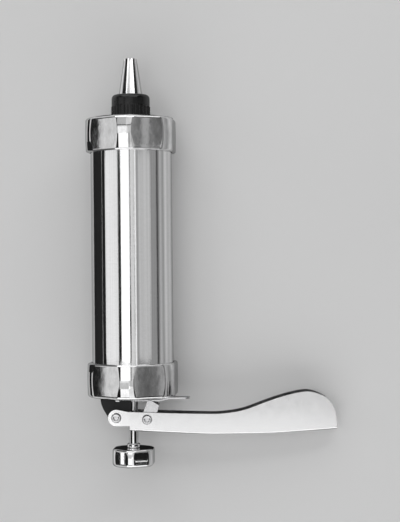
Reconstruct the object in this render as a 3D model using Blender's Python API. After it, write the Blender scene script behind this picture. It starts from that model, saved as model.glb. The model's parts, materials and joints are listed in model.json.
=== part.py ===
# Lever cookie press, lying on its two rings and the end of its lever.
#
# Press axes, before the roll: X runs from the barrel's axis towards the lever's end,
# Y runs along the barrel towards the nozzle with zero at the rear ring's outer face,
# and Z is square to the lever's plane. The whole press is then rolled about Y until
# the lever's end meets the floor at Z = 0.

import bmesh
import bpy
from math import acos, asin, atan2, cos, hypot, pi, radians, sin
from mathutils import Matrix, Vector

MM = 0.001

# General
GAP = 0.3 * MM                      # between pieces that touch or turn in each other
OVERRUN = 2.0 * MM                  # how far a cutter runs past what it cuts
ROUND_SIDES = 48                    # sides of a large round piece
SMALL_SIDES = 24                    # sides of a small round piece
CORNER_STEPS = 3                    # steps round a rounded corner

# Barrel
BARREL_RADIUS = 25.0 * MM
BARREL_WALL = 1.2 * MM
BARREL_LENGTH = 160.4 * MM
BARREL_EDGE = 0.3 * MM              # chamfer on the tube's ends

# Screw rings
RING_CLEARANCE = 0.35 * MM          # between the ring's bore and the barrel
RING_WALL = 3.25 * MM               # from the bore to the crowned land
RING_HEIGHT = 21.0 * MM
RING_CROWN = 0.55 * MM              # how much the land swells at mid height
RING_CORNER = 1.6 * MM
RING_LIP = 2.0 * MM
RING_LIP_WIDTH = 4.35 * MM          # from the bore to the opening in the lip
RING_FLAT_DEPTH = 1.9 * MM          # from the land to the middle of a flat
FLAT_COUNT = 6
FLAT_PHASE = radians(24.5)          # first flat, from +Z towards the lever

# Nozzle adapter
ADAPTER_PLATE = 2.0 * MM
ADAPTER_INSET = 0.6 * MM            # from the barrel's outside to the plate's rim
ADAPTER_SEAT_CLEARANCE = 0.8 * MM   # round the raised step, in the ring's opening
ADAPTER_SEAT_RISE = 1.2 * MM
SPOUT_RADIUS = 9.2 * MM
SPOUT_BORE = 6.6 * MM
SPOUT_LENGTH = 12.4 * MM

# Nozzle nut
NUT_RADIUS = 12.0 * MM
NUT_FRONT = 14.7 * MM               # how far the nut stands out of the front ring
NUT_SKIRT_HEIGHT = 9.0 * MM
NUT_FLUTE_DEPTH = 0.45 * MM
NUT_FLUTES = 30
NUT_STEP = 0.25 * MM                # step between the crown and the skirt
NUT_TOP_RADIUS = 10.0 * MM
NUT_SHOULDER = 1.9 * MM             # height of the rounded shoulder
NUT_CROWN_WALL = 2.1 * MM

# Icing tip
TIP_LENGTH = 26.6 * MM
TIP_MOUTH_RADIUS = 3.9 * MM
TIP_BASE_RADIUS = 8.0 * MM
TIP_WALL = 0.6 * MM
TIP_BEAD_RADIUS = 9.0 * MM
TIP_BEAD_HEIGHT = 1.0 * MM
TIP_NOTCH_DEPTH = 1.9 * MM
TIP_NOTCH_WIDTH = 1.7 * MM
TIP_NOTCHES = 6

# Rear plug and the bush that guides the rod
PLUG_FLANGE = 3.0 * MM
PLUG_INSET = 0.4 * MM               # from the barrel's outside to the flange's rim
PLUG_SPIGOT = 3.0 * MM
PLUG_SPIGOT_CLEARANCE = 0.5 * MM    # between the spigot and the barrel's bore
BUSH_RADIUS = 4.7 * MM
BUSH_BODY = 2.0 * MM
BUSH_FLANGE_RADIUS = 7.5 * MM
BUSH_FLANGE = 1.5 * MM

# Rod and knob
ROD_RADIUS = 2.75 * MM
ROD_EDGE = 0.4 * MM
KNOB_RADIUS = 13.4 * MM
KNOB_HEIGHT = 11.1 * MM
KNOB_REACH = 31.9 * MM              # from the rear ring to the knob's front face
KNOB_CROWN = 0.3 * MM
KNOB_CORNER = 2.4 * MM
KNOB_FRONT_EDGE = 0.6 * MM
KNOB_FLAT_DEPTH = 0.9 * MM
KNOB_SOCKET = 7.4 * MM
LOCK_NUT_RADIUS = 4.0 * MM
LOCK_NUT_HEIGHT = 2.4 * MM

# Bracket behind the plug
BRACKET_SHEET = 1.2 * MM
BRACKET_BASE = 1.5 * MM
BRACKET_CLEARANCE = 2.2 * MM        # between the base and the ring's opening
EAR_HALF_WIDTH = 6.1 * MM           # from the lever's plane to an ear's outer face
EAR_LEFT_CLEARANCE = 1.4 * MM       # between the ears' left side and the ring's opening
EAR_RIGHT = 1.2 * MM
EAR_END_RADIUS = 4.4 * MM
EAR_END_ARC = (radians(195.0), radians(345.0))
EAR_FOOT_RISE = 1.0 * MM
EAR_FOOT_INSET = 2.0 * MM           # from the base's rim to the foot of the ears
RIVET_RADIUS = 1.3 * MM
RIVET_HEAD_RADIUS = 2.2 * MM
RIVET_HEAD = 0.8 * MM
RIVET_TOP_SHARE = 0.75              # the head's top, of its radius
RIVET_INSET = 4.2 * MM              # from the base's rim
RIVET_ANGLE = radians(31.0)         # from square to the lever's plane

# Lever
FULCRUM_X = -10.1 * MM
FULCRUM_Y = -12.7 * MM
LEVER_REACH = 134.9 * MM            # from the fulcrum to the sharp corner at the end
LEVER_HALF_WIDTH = 8.2 * MM
LEVER_SHEET = 1.0 * MM
LEVER_HEAD_RADIUS = 5.0 * MM
LEVER_HEAD_ARC = (radians(80.0), radians(270.0))
LEVER_HUMP = 14.9 * MM              # highest point of the front edge above the fulcrum
LEVER_BELLY = 10.7 * MM             # lowest point of the back edge below the fulcrum
LEVER_BEND = 1.6 * MM
WEB_START = 8.2 * MM                # where the web begins, from the fulcrum
WEB_SLOT_END = 24.0 * MM
WEB_SLOT_WIDTH = 7.4 * MM

# Front edge of the lever: shares of its reach, and of the hump's height
LEVER_FRONT_SHARES = (
    (0.053, 0.240), (0.200, 0.190), (0.377, 0.140), (0.479, 0.140), (0.577, 0.275),
    (0.676, 0.590), (0.751, 0.812), (0.825, 0.973), (0.884, 1.000), (0.949, 0.772),
    (0.984, 0.389), (0.996, -0.013), (1.000, -0.530),
)
# Back edge: shares of the web's length, and of the belly's depth
LEVER_BACK_SHARES = (
    (1.000, 0.738), (0.825, 0.879), (0.678, 0.972), (0.445, 1.000), (0.337, 0.972),
    (0.148, 0.850), (0.000, 0.748),
)
LEVER_CURVE_STEPS = 3

# Pins of the lever
FULCRUM_PIN_RADIUS = 1.9 * MM
STIRRUP_PIN_RADIUS = 1.5 * MM
PIN_HEAD_RADIUS = 3.1 * MM
PIN_HEAD = 1.1 * MM
PIN_TOP_SHARE = 0.85                # the head's top, of its radius
PIN_DIMPLE_RADIUS = 1.5 * MM
PIN_DIMPLE = 0.7 * MM
WASHER_RADIUS = 3.4 * MM
WASHER_SHEET = 0.5 * MM

# Drive stirrup, grip cam and their spring, placed from the stirrup's pin
STIRRUP_X = 18.8 * MM               # from the fulcrum
STIRRUP_Y = -1.1 * MM
STIRRUP_SHEET = 1.0 * MM
STIRRUP_HALF_WIDTH = 6.1 * MM
STIRRUP_RISE = 11.2 * MM
STIRRUP_SIDE = 7.3 * MM
STIRRUP_BOSS_RADIUS = 3.6 * MM
# Cheek outline: shares of the stirrup's side and of its rise
STIRRUP_CHEEK_SHARES = (
    (0.863, 0.411), (1.000, 0.750), (0.356, 1.000), (0.041, 1.000), (-0.274, 0.464),
)
CAM_LENGTH = 5.74 * MM
CAM_ANGLE = radians(170.0)
CAM_BOSS_RADIUS = 2.6 * MM
CAM_NOSE_RADIUS = 0.5 * MM
CAM_SIDE = 2.4 * MM                 # cam's face on the spring's side
STIRRUP_WIRE = 0.5 * MM
STIRRUP_SPRING_TURNS = 1.5
STIRRUP_SPRING_PITCH = 1.0 * MM
STIRRUP_SPRING_START = radians(-70.0)
STIRRUP_LEG = 3.4 * MM

# Lock plate and its spring
LOCK_HEEL_X = -9.3 * MM
LOCK_SHEET = 1.0 * MM
LOCK_SETBACK = 1.4 * MM             # middle of the tab behind the rear ring's face
LOCK_HOLE_CLEARANCE = 0.4 * MM
LOCK_HEEL_LENGTH = 1.6 * MM
LOCK_LUG_WIDTH = 2.0 * MM
LOCK_LUG_SHEET = 0.8 * MM
LOCK_HALF_WIDTH = 4.6 * MM          # between the ears and between the cheeks
LOCK_TAB_HALF = 4.2 * MM
LOCK_TAB_END = 35.0 * MM
# Rounded end of the tab: places back from the end and half widths, shares of its half width
LOCK_TAB_END_SHARES = ((0.5, 1.0), (0.167, 0.8), (0.0, 0.45))
LOCK_BEND_X = 15.5 * MM
LOCK_BEND_LENGTH = 8.0 * MM
LOCK_BEND_STEPS = 6
LOCK_BEND_RISE = 1.2 * MM           # the middle of the plate sits this far behind the tab
LOCK_NOTCH = 0.4 * MM               # play round the heel's lugs in the ears
LOCK_WIRE = 0.8 * MM
LOCK_SPRING_RADIUS = 4.2 * MM
LOCK_SPRING_TURNS = 4
COIL_POINTS = 9                     # points in one turn of a spring

# Piston
PISTON_CLEARANCE = 0.7 * MM         # between the piston and the barrel's bore
PISTON_DISC = 3.0 * MM
PISTON_SKIRT = 6.0 * MM
PISTON_SKIRT_WALL = 1.8 * MM
PISTON_HUB_RADIUS = 7.0 * MM
PISTON_HUB = 3.0 * MM
PISTON_FRONT_SPACE = 16.0 * MM      # from the piston's front to the barrel's front end
SEAL_GROOVE = 2.4 * MM
SEAL_GROOVE_DEPTH = 1.6 * MM
PISTON_WASHER_RADIUS = 8.0 * MM
PISTON_WASHER_SHEET = 1.2 * MM
PISTON_NUT_RADIUS = 5.6 * MM
PISTON_NUT_FLAT = 4.9 * MM          # from the axis to a flat
PISTON_NUT_HEIGHT = 4.0 * MM
PISTON_COLLAR_RADIUS = 5.5 * MM
PISTON_COLLAR_HEIGHT = 3.0 * MM
ROD_END = 1.5 * MM                  # rod standing out of the piston nut

# Stations along the barrel
PLUG_REAR = RING_LIP + GAP
PLUG_STEP = PLUG_REAR + PLUG_FLANGE
BARREL_REAR = PLUG_STEP + GAP
BARREL_FRONT = BARREL_REAR + BARREL_LENGTH
ADAPTER_REAR = BARREL_FRONT + GAP
ADAPTER_FACE = ADAPTER_REAR + ADAPTER_PLATE
RING_FRONT = ADAPTER_FACE + GAP + RING_LIP
NUT_END = RING_FRONT + NUT_FRONT
NUT_REAR = ADAPTER_FACE + ADAPTER_SEAT_RISE + GAP
SPOUT_END = ADAPTER_FACE + SPOUT_LENGTH
TIP_REAR = SPOUT_END + GAP
TIP_END = TIP_REAR + TIP_LENGTH
BRACKET_FACE = PLUG_REAR - GAP
BRACKET_REAR = BRACKET_FACE - BRACKET_BASE
BUSH_REAR = PLUG_STEP + PLUG_SPIGOT - BUSH_BODY
BUSH_STEP = PLUG_STEP + PLUG_SPIGOT + GAP
LOCK_MIDDLE = -LOCK_SETBACK - LOCK_BEND_RISE
LOCK_FRONT = LOCK_MIDDLE + LOCK_SHEET / 2
KNOB_FRONT = -KNOB_REACH
KNOB_REAR = KNOB_FRONT - KNOB_HEIGHT
PISTON_FACE = BARREL_FRONT - PISTON_FRONT_SPACE
PISTON_BACK = PISTON_FACE - PISTON_DISC
PISTON_HUB_REAR = PISTON_BACK - PISTON_HUB
WASHER_REAR = PISTON_FACE + GAP
PISTON_NUT_REAR = WASHER_REAR + PISTON_WASHER_SHEET + GAP
ROD_FRONT = PISTON_NUT_REAR + PISTON_NUT_HEIGHT + ROD_END

# Radii and places that follow from the sizes above
BARREL_BORE = BARREL_RADIUS - BARREL_WALL
RING_BORE = BARREL_RADIUS + RING_CLEARANCE
RING_RADIUS = RING_BORE + RING_WALL
RING_OPENING_RADIUS = RING_BORE - RING_LIP_WIDTH
ADAPTER_RADIUS = BARREL_RADIUS - ADAPTER_INSET
ADAPTER_SEAT_RADIUS = RING_OPENING_RADIUS - ADAPTER_SEAT_CLEARANCE
PLUG_FLANGE_RADIUS = BARREL_RADIUS - PLUG_INSET
PLUG_SPIGOT_RADIUS = BARREL_BORE - PLUG_SPIGOT_CLEARANCE
BRACKET_BASE_RADIUS = RING_OPENING_RADIUS - BRACKET_CLEARANCE
RIVET_RING_RADIUS = BRACKET_BASE_RADIUS - RIVET_INSET
EAR_LEFT = RING_OPENING_RADIUS - EAR_LEFT_CLEARANCE
PISTON_RADIUS = BARREL_BORE - PISTON_CLEARANCE
SEAL_RADIUS = BARREL_BORE - GAP
ROD_HOLE = ROD_RADIUS + GAP
EAR_INNER = EAR_HALF_WIDTH - BRACKET_SHEET
LEVER_INNER = LEVER_HALF_WIDTH - LEVER_SHEET
STIRRUP_INNER = STIRRUP_HALF_WIDTH - STIRRUP_SHEET
FULCRUM = Vector((FULCRUM_X, FULCRUM_Y, 0))
STIRRUP = Vector((FULCRUM_X + STIRRUP_X, FULCRUM_Y + STIRRUP_Y, 0))
LOCK_HEEL = Vector((LOCK_HEEL_X, LOCK_MIDDLE, 0))
AXIS = Vector((0, 0, 0))

# Pose: the roll that lays the lever's end on the floor beside the rings
LEVER_END_X = FULCRUM_X + LEVER_REACH
ROLL = (asin(RING_RADIUS / hypot(LEVER_END_X, LEVER_HALF_WIDTH))
        - atan2(LEVER_HALF_WIDTH, LEVER_END_X))


def clear_scene():
    for item in list(bpy.data.objects):
        bpy.data.objects.remove(item, do_unlink=True)


def finish(name, colour, metallic, roughness):
    """A material with the piece's colour and gloss."""
    material = bpy.data.materials.new(name)
    material.use_nodes = True
    shader = material.node_tree.nodes["Principled BSDF"]
    shader.inputs["Base Color"].default_value = (*colour, 1)
    shader.inputs["Metallic"].default_value = metallic
    shader.inputs["Roughness"].default_value = roughness
    return material


def empty(name, place, parent=None):
    """A pivot that pieces hang from; it draws nothing."""
    pivot = bpy.data.objects.new(name, None)
    pivot.location = place
    pivot.parent = parent
    bpy.context.collection.objects.link(pivot)
    return pivot


def piece(name, body, material, pivot, smooth=True):
    """Turns a bmesh drawn in press axes into an object that hangs from its pivot."""
    bmesh.ops.recalc_face_normals(body, faces=body.faces[:])
    if pivot.name != "press":
        bmesh.ops.translate(body, verts=body.verts[:], vec=-pivot.location)
    mesh = bpy.data.meshes.new(name)
    body.to_mesh(mesh)
    body.free()
    if smooth:
        mesh.shade_smooth()
        mesh.set_sharp_from_angle(angle=radians(35))
    made = bpy.data.objects.new(name, mesh)
    made.parent = pivot
    if material:
        mesh.materials.append(material)
    bpy.context.collection.objects.link(made)
    return made


def change(target, tool_body, operation="DIFFERENCE"):
    """Cuts or joins another closed body, as a modifier that stays on the piece."""
    number = len(target.modifiers) + 1
    tool = piece(f"{target.name}_tool_{number}", tool_body, None, target.parent, False)
    tool.hide_render = True
    tool.display_type = "WIRE"
    step = target.modifiers.new(f"{operation.lower()}_{number}", "BOOLEAN")
    step.operation = operation
    step.solver = "EXACT"
    step.object = tool


def turned(profile, sides=ROUND_SIDES, axis="Y", centre=AXIS, radius_at=None):
    """Turns a profile of (radius, place along the axis) points round an axis.

    A profile that starts and ends on the axis makes a solid piece, any other one is
    closed into a ring. radius_at(radius, index of the point, angle) may shape it.
    """
    body = bmesh.new()
    solid = profile[0][0] == 0
    loops = []
    for index, (radius, along) in enumerate(profile):
        if radius == 0:
            loops.append([body.verts.new((0, along, 0))])
            continue
        loop = []
        for side in range(sides):
            angle = 2 * pi * side / sides
            here = radius_at(radius, index, angle) if radius_at else radius
            loop.append(body.verts.new((here * sin(angle), along, here * cos(angle))))
        loops.append(loop)
    pairs = list(zip(loops, loops[1:]))
    if not solid:
        pairs.append((loops[-1], loops[0]))
    for low, high in pairs:
        for side in range(sides):
            after = (side + 1) % sides
            corners = [low[side % len(low)], low[after % len(low)],
                       high[after % len(high)], high[side % len(high)]]
            body.faces.new(list(dict.fromkeys(corners)))
    if axis == "Z":
        bmesh.ops.rotate(body, verts=body.verts[:], matrix=Matrix.Rotation(pi / 2, 3, "X"))
    bmesh.ops.translate(body, verts=body.verts[:], vec=centre)
    return body


def lofted(sections):
    """A closed body through sections that have as many points each."""
    body = bmesh.new()
    loops = [[body.verts.new(place) for place in section] for section in sections]
    body.faces.new(loops[0])
    body.faces.new(loops[-1])
    for near, far in zip(loops, loops[1:]):
        for index in range(len(near)):
            after = (index + 1) % len(near)
            body.faces.new((near[index], near[after], far[after], far[index]))
    return body


def prism(outline, low, high, along="Z"):
    """A closed outline carried from low to high.

    along Z, its points are (x, y); along Y, its points are (x, z).
    """
    if along == "Z":
        return lofted([[(a, b, level) for a, b in outline] for level in (low, high)])
    return lofted([[(a, level, b) for a, b in outline] for level in (low, high)])


def box(low, high):
    """A block between two opposite corners."""
    outline = [(low[0], low[1]), (high[0], low[1]), (high[0], high[1]), (low[0], high[1])]
    return prism(outline, low[2], high[2])


def arc(centre, radius, start, end, steps):
    """Points on an arc, from one angle to another, in radians from +X."""
    return [(centre[0] + radius * cos(start + (end - start) * step / steps),
             centre[1] + radius * sin(start + (end - start) * step / steps))
            for step in range(steps + 1)]


def smooth_through(points, steps):
    """A Catmull-Rom curve through the points, in equal steps between each two."""
    curve = []
    for index in range(len(points) - 1):
        before = Vector(points[max(index - 1, 0)])
        start = Vector(points[index])
        end = Vector(points[index + 1])
        after = Vector(points[min(index + 2, len(points) - 1)])
        for step in range(steps):
            t = step / steps
            place = (2 * start + (end - before) * t
                     + (2 * before - 5 * start + 4 * end - after) * t ** 2
                     + (3 * start - before - 3 * end + after) * t ** 3) / 2
            curve.append((place.x, place.y))
    curve.append(tuple(points[-1]))
    return curve


def cut_flats(body, distance, corner_phase=FLAT_PHASE):
    """Cuts the flats round a turned piece and closes each cut."""
    for index in range(FLAT_COUNT):
        angle = corner_phase + 2 * pi * index / FLAT_COUNT
        away = Vector((sin(angle), 0, cos(angle)))
        geometry = body.verts[:] + body.edges[:] + body.faces[:]
        cut = bmesh.ops.bisect_plane(body, geom=geometry, plane_co=away * distance,
                                     plane_no=away, clear_outer=True)
        rim = [item for item in cut["geom_cut"] if isinstance(item, bmesh.types.BMEdge)]
        bmesh.ops.holes_fill(body, edges=rim, sides=0)


def crowned_side(radius, crown, height, near_corner, far_corner, steps=4):
    """Profile points of a crowned side with rounded corners, from one face to the other."""
    def swell(along):
        share = (along - height / 2) / (height / 2)
        return radius - crown * share ** 2

    turns = [pi / 2 * step / CORNER_STEPS for step in range(CORNER_STEPS + 1)]
    points = [(swell(near_corner) - near_corner * (1 - sin(turn)),
               near_corner * (1 - cos(turn))) for turn in turns]
    run = height - near_corner - far_corner
    for step in range(1, steps):
        along = near_corner + run * step / steps
        points.append((swell(along), along))
    points += [(swell(height - far_corner) - far_corner * (1 - cos(turn)),
                height - far_corner * (1 - sin(turn))) for turn in turns]
    return points


def screw_ring(name, lip_face, inward, material, pivot):
    """A ring with six flats, a bore that takes the barrel and a lip that holds a plate."""
    side = crowned_side(RING_RADIUS, RING_CROWN, RING_HEIGHT, RING_CORNER, RING_CORNER)
    profile = [(RING_OPENING_RADIUS, 0)] + side + [
        (RING_BORE, RING_HEIGHT), (RING_BORE, RING_LIP), (RING_OPENING_RADIUS, RING_LIP)]
    body = turned([(radius, lip_face + inward * depth) for radius, depth in profile])
    cut_flats(body, RING_RADIUS - RING_FLAT_DEPTH)
    return piece(name, body, material, pivot)


def coil(name, points, wire, material, pivot):
    """A wire along a list of points, as one unbroken tube with closed ends."""
    curve = bpy.data.curves.new(name, "CURVE")
    curve.dimensions = "3D"
    curve.bevel_depth = wire / 2
    curve.bevel_resolution = 1
    curve.use_fill_caps = True
    line = curve.splines.new("POLY")
    line.points.add(len(points) - 1)
    for point, place in zip(line.points, points):
        point.co = (*(Vector(place) - pivot_place(pivot)), 1)
    curve.materials.append(material)
    made = bpy.data.objects.new(name, curve)
    made.parent = pivot
    bpy.context.collection.objects.link(made)
    print(f"{name}: least gap to itself {least_gap(points, wire) / MM:.2f} mm")
    return made


def pivot_place(pivot):
    return AXIS if pivot.name == "press" else pivot.location


def least_gap(points, wire):
    """The least space between the wire and itself, away from neighbouring points."""
    places = [Vector(point) for point in points]
    reach = COIL_POINTS // 2
    gaps = [(places[i] - places[j]).length
            for i in range(len(places)) for j in range(i + reach, len(places))]
    return min(gaps) - wire


def barrel(material, pivot):
    """Plain polished tube, open at both ends."""
    edge = BARREL_EDGE
    profile = [
        (BARREL_BORE, BARREL_REAR), (BARREL_RADIUS - edge, BARREL_REAR),
        (BARREL_RADIUS, BARREL_REAR + edge), (BARREL_RADIUS, BARREL_FRONT - edge),
        (BARREL_RADIUS - edge, BARREL_FRONT), (BARREL_BORE, BARREL_FRONT)]
    return piece("barrel", turned(profile), material, pivot)


def nozzle_adapter(material, pivot):
    """Plate that the front ring clamps, with the spout that the nut screws on."""
    seat = ADAPTER_FACE + ADAPTER_SEAT_RISE
    profile = [
        (SPOUT_BORE, ADAPTER_REAR), (ADAPTER_RADIUS, ADAPTER_REAR),
        (ADAPTER_RADIUS, ADAPTER_FACE), (ADAPTER_SEAT_RADIUS, ADAPTER_FACE),
        (ADAPTER_SEAT_RADIUS, seat), (SPOUT_RADIUS, seat),
        (SPOUT_RADIUS, SPOUT_END), (SPOUT_BORE, SPOUT_END)]
    return piece("nozzle_adapter", turned(profile), material, pivot)


def tip_radius(along):
    """Outer radius of the icing tip's cone at a place along the barrel."""
    share = (along - TIP_REAR) / TIP_LENGTH
    return TIP_BASE_RADIUS + (TIP_MOUTH_RADIUS - TIP_BASE_RADIUS) * share


def nozzle_nut(material, pivot):
    """Nut with a fluted skirt and a smooth rounded crown round the tip."""
    skirt_end = NUT_REAR + NUT_SKIRT_HEIGHT
    crown_radius = NUT_RADIUS - NUT_STEP
    shoulder = NUT_END - NUT_SHOULDER
    inside = SPOUT_RADIUS + GAP
    ledge = NUT_END - NUT_CROWN_WALL
    turns = [pi / 2 * step / CORNER_STEPS for step in range(CORNER_STEPS + 1)]
    rounded = [(NUT_TOP_RADIUS + (crown_radius - NUT_TOP_RADIUS) * cos(turn),
                shoulder + NUT_SHOULDER * sin(turn)) for turn in turns]
    profile = [
        (inside, NUT_REAR), (NUT_RADIUS, NUT_REAR), (NUT_RADIUS, skirt_end),
        (crown_radius - NUT_FLUTE_DEPTH / 2, skirt_end)] + rounded + [
        (tip_radius(NUT_END) + GAP, NUT_END), (tip_radius(ledge) + GAP, ledge),
        (inside, ledge)]

    def flute(radius, index, angle):
        if index not in (1, 2):
            return radius
        turn = round(angle * NUT_FLUTES / pi)
        return radius - (NUT_FLUTE_DEPTH if turn % 2 else 0)

    body = turned(profile, 2 * NUT_FLUTES, radius_at=flute)
    return piece("nozzle_nut", body, material, pivot)


def icing_tip(material, pivot):
    """Thin steel cone with a beaded base and a notched mouth."""
    bead = TIP_REAR + TIP_BEAD_HEIGHT
    profile = [
        (TIP_BASE_RADIUS - TIP_WALL, TIP_REAR), (TIP_BEAD_RADIUS, TIP_REAR),
        (TIP_BEAD_RADIUS, bead), (tip_radius(bead), bead),
        (tip_radius(TIP_END), TIP_END), (tip_radius(TIP_END) - TIP_WALL, TIP_END)]
    tip = piece("icing_tip", turned(profile, 2 * SMALL_SIDES), material, pivot)
    for index in range(TIP_NOTCHES // 2):
        reach = TIP_MOUTH_RADIUS + OVERRUN
        mouth = TIP_NOTCH_WIDTH * (1 + OVERRUN / TIP_NOTCH_DEPTH) / 2
        wedge = prism([(-mouth, TIP_END + OVERRUN), (0, TIP_END - TIP_NOTCH_DEPTH),
                       (mouth, TIP_END + OVERRUN)], -reach, reach)
        angle = 2 * pi * index / TIP_NOTCHES
        bmesh.ops.rotate(wedge, verts=wedge.verts[:], matrix=Matrix.Rotation(angle, 3, "Y"))
        change(tip, wedge)
    return tip


def rear_plug(material, pivot):
    """End plate with a spigot in the barrel and a pocket for the lock plate's spring."""
    front = PLUG_STEP + PLUG_SPIGOT
    pocket = LOCK_SPRING_RADIUS + LOCK_WIRE / 2 + GAP
    pocket_end = BUSH_REAR - GAP
    hole = BUSH_RADIUS + GAP
    profile = [
        (pocket, PLUG_REAR), (PLUG_FLANGE_RADIUS, PLUG_REAR),
        (PLUG_FLANGE_RADIUS, PLUG_STEP), (PLUG_SPIGOT_RADIUS, PLUG_STEP),
        (PLUG_SPIGOT_RADIUS, front), (hole, front), (hole, pocket_end)]
    if pocket > hole:
        profile.append((pocket, pocket_end))
    plug = piece("rear_plug", turned(profile), material, pivot)
    for place in rivet_places():
        change(plug, turned([
            (0, PLUG_REAR - OVERRUN), (RIVET_RADIUS + GAP, PLUG_REAR - OVERRUN),
            (RIVET_RADIUS + GAP, front + OVERRUN), (0, front + OVERRUN)],
            SMALL_SIDES // 2, centre=place))
    return plug


def rod_bush(material, pivot):
    """Flanged bush that the rod slides in."""
    front = BUSH_STEP + BUSH_FLANGE
    profile = [
        (ROD_HOLE, BUSH_REAR), (BUSH_RADIUS, BUSH_REAR), (BUSH_RADIUS, BUSH_STEP),
        (BUSH_FLANGE_RADIUS, BUSH_STEP), (BUSH_FLANGE_RADIUS, front), (ROD_HOLE, front)]
    return piece("rod_bush", turned(profile, SMALL_SIDES), material, pivot)


def rivet_places():
    """The four rivets' places round the barrel's axis."""
    across = RIVET_RING_RADIUS * cos(RIVET_ANGLE)
    along = RIVET_RING_RADIUS * sin(RIVET_ANGLE)
    return [Vector((x, 0, z)) for x in (-along, along) for z in (-across, across)]


def bracket_rivets(material, pivot):
    """Rivets through the bracket's base and the plug."""
    front = PLUG_STEP + PLUG_SPIGOT + GAP
    rear = BRACKET_REAR - GAP
    for number, place in enumerate(rivet_places(), 1):
        profile = [
            (0, rear - RIVET_HEAD), (RIVET_HEAD_RADIUS * RIVET_TOP_SHARE, rear - RIVET_HEAD),
            (RIVET_HEAD_RADIUS, rear), (RIVET_RADIUS, rear),
            (RIVET_RADIUS, front), (RIVET_HEAD_RADIUS, front),
            (RIVET_HEAD_RADIUS, front + RIVET_HEAD), (0, front + RIVET_HEAD)]
        body = turned(profile, SMALL_SIDES // 2, centre=place)
        piece(f"bracket_rivet_{number}", body, material, pivot)


def fulcrum_bracket(material, pivot):
    """Round base with two ears that carry the fulcrum and the lock plate's heel."""
    hole = LOCK_SPRING_RADIUS + LOCK_WIRE / 2 + GAP
    base = turned([(hole, BRACKET_REAR), (BRACKET_BASE_RADIUS, BRACKET_REAR),
                   (BRACKET_BASE_RADIUS, BRACKET_FACE), (hole, BRACKET_FACE)])
    bracket = piece("fulcrum_bracket", base, material, pivot)
    foot = (BRACKET_REAR + BRACKET_FACE) / 2
    foot_left = -(BRACKET_BASE_RADIUS - EAR_FOOT_INSET)
    end = arc((FULCRUM_X, FULCRUM_Y), EAR_END_RADIUS, *EAR_END_ARC, 8)
    right_turn = -EAR_RIGHT, FULCRUM_Y + EAR_END_RADIUS
    flank = smooth_through([
        (foot_left, -EAR_FOOT_RISE / 2), (-EAR_LEFT, -EAR_FOOT_RISE),
        (-EAR_LEFT + EAR_FOOT_RISE, FULCRUM_Y / 2), end[0]], 3)
    outline = [(foot_left, foot)] + flank + end[1:] + [
        right_turn, (-EAR_RIGHT, BRACKET_REAR), (-EAR_RIGHT, foot)]
    for inner in (-EAR_HALF_WIDTH, EAR_INNER):
        change(bracket, prism(outline, inner, inner + BRACKET_SHEET), "UNION")
    reach = EAR_HALF_WIDTH + OVERRUN
    eye = FULCRUM_PIN_RADIUS + GAP / 2
    change(bracket, turned([(0, -reach), (eye, -reach), (eye, reach), (0, reach)],
                           SMALL_SIDES, "Z", FULCRUM))
    play = Vector((LOCK_LUG_WIDTH / 2 + LOCK_NOTCH, LOCK_LUG_SHEET / 2 + LOCK_NOTCH, reach))
    change(bracket, box(LOCK_HEEL - play, LOCK_HEEL + play))
    for place in rivet_places():
        change(bracket, turned([
            (0, BRACKET_REAR - OVERRUN), (RIVET_RADIUS + GAP, BRACKET_REAR - OVERRUN),
            (RIVET_RADIUS + GAP, BRACKET_FACE + OVERRUN), (0, BRACKET_FACE + OVERRUN)],
            SMALL_SIDES // 2, centre=place))
    return bracket


def lever_edges():
    """The lever's front and back edges in press axes, each as a list of points."""
    head = arc((0, 0), LEVER_HEAD_RADIUS, *LEVER_HEAD_ARC, 12)
    front = smooth_through([
        (along * LEVER_REACH, height * LEVER_HUMP) for along, height in LEVER_FRONT_SHARES],
        LEVER_CURVE_STEPS)
    web = LEVER_REACH - WEB_START
    back = smooth_through([
        (WEB_START + along * web, -depth * LEVER_BELLY) for along, depth in LEVER_BACK_SHARES],
        LEVER_CURVE_STEPS)

    def placed(points):
        return [(x + FULCRUM_X, y + FULCRUM_Y) for x, y in points]

    return placed(head), placed(front), placed(back)


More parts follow.
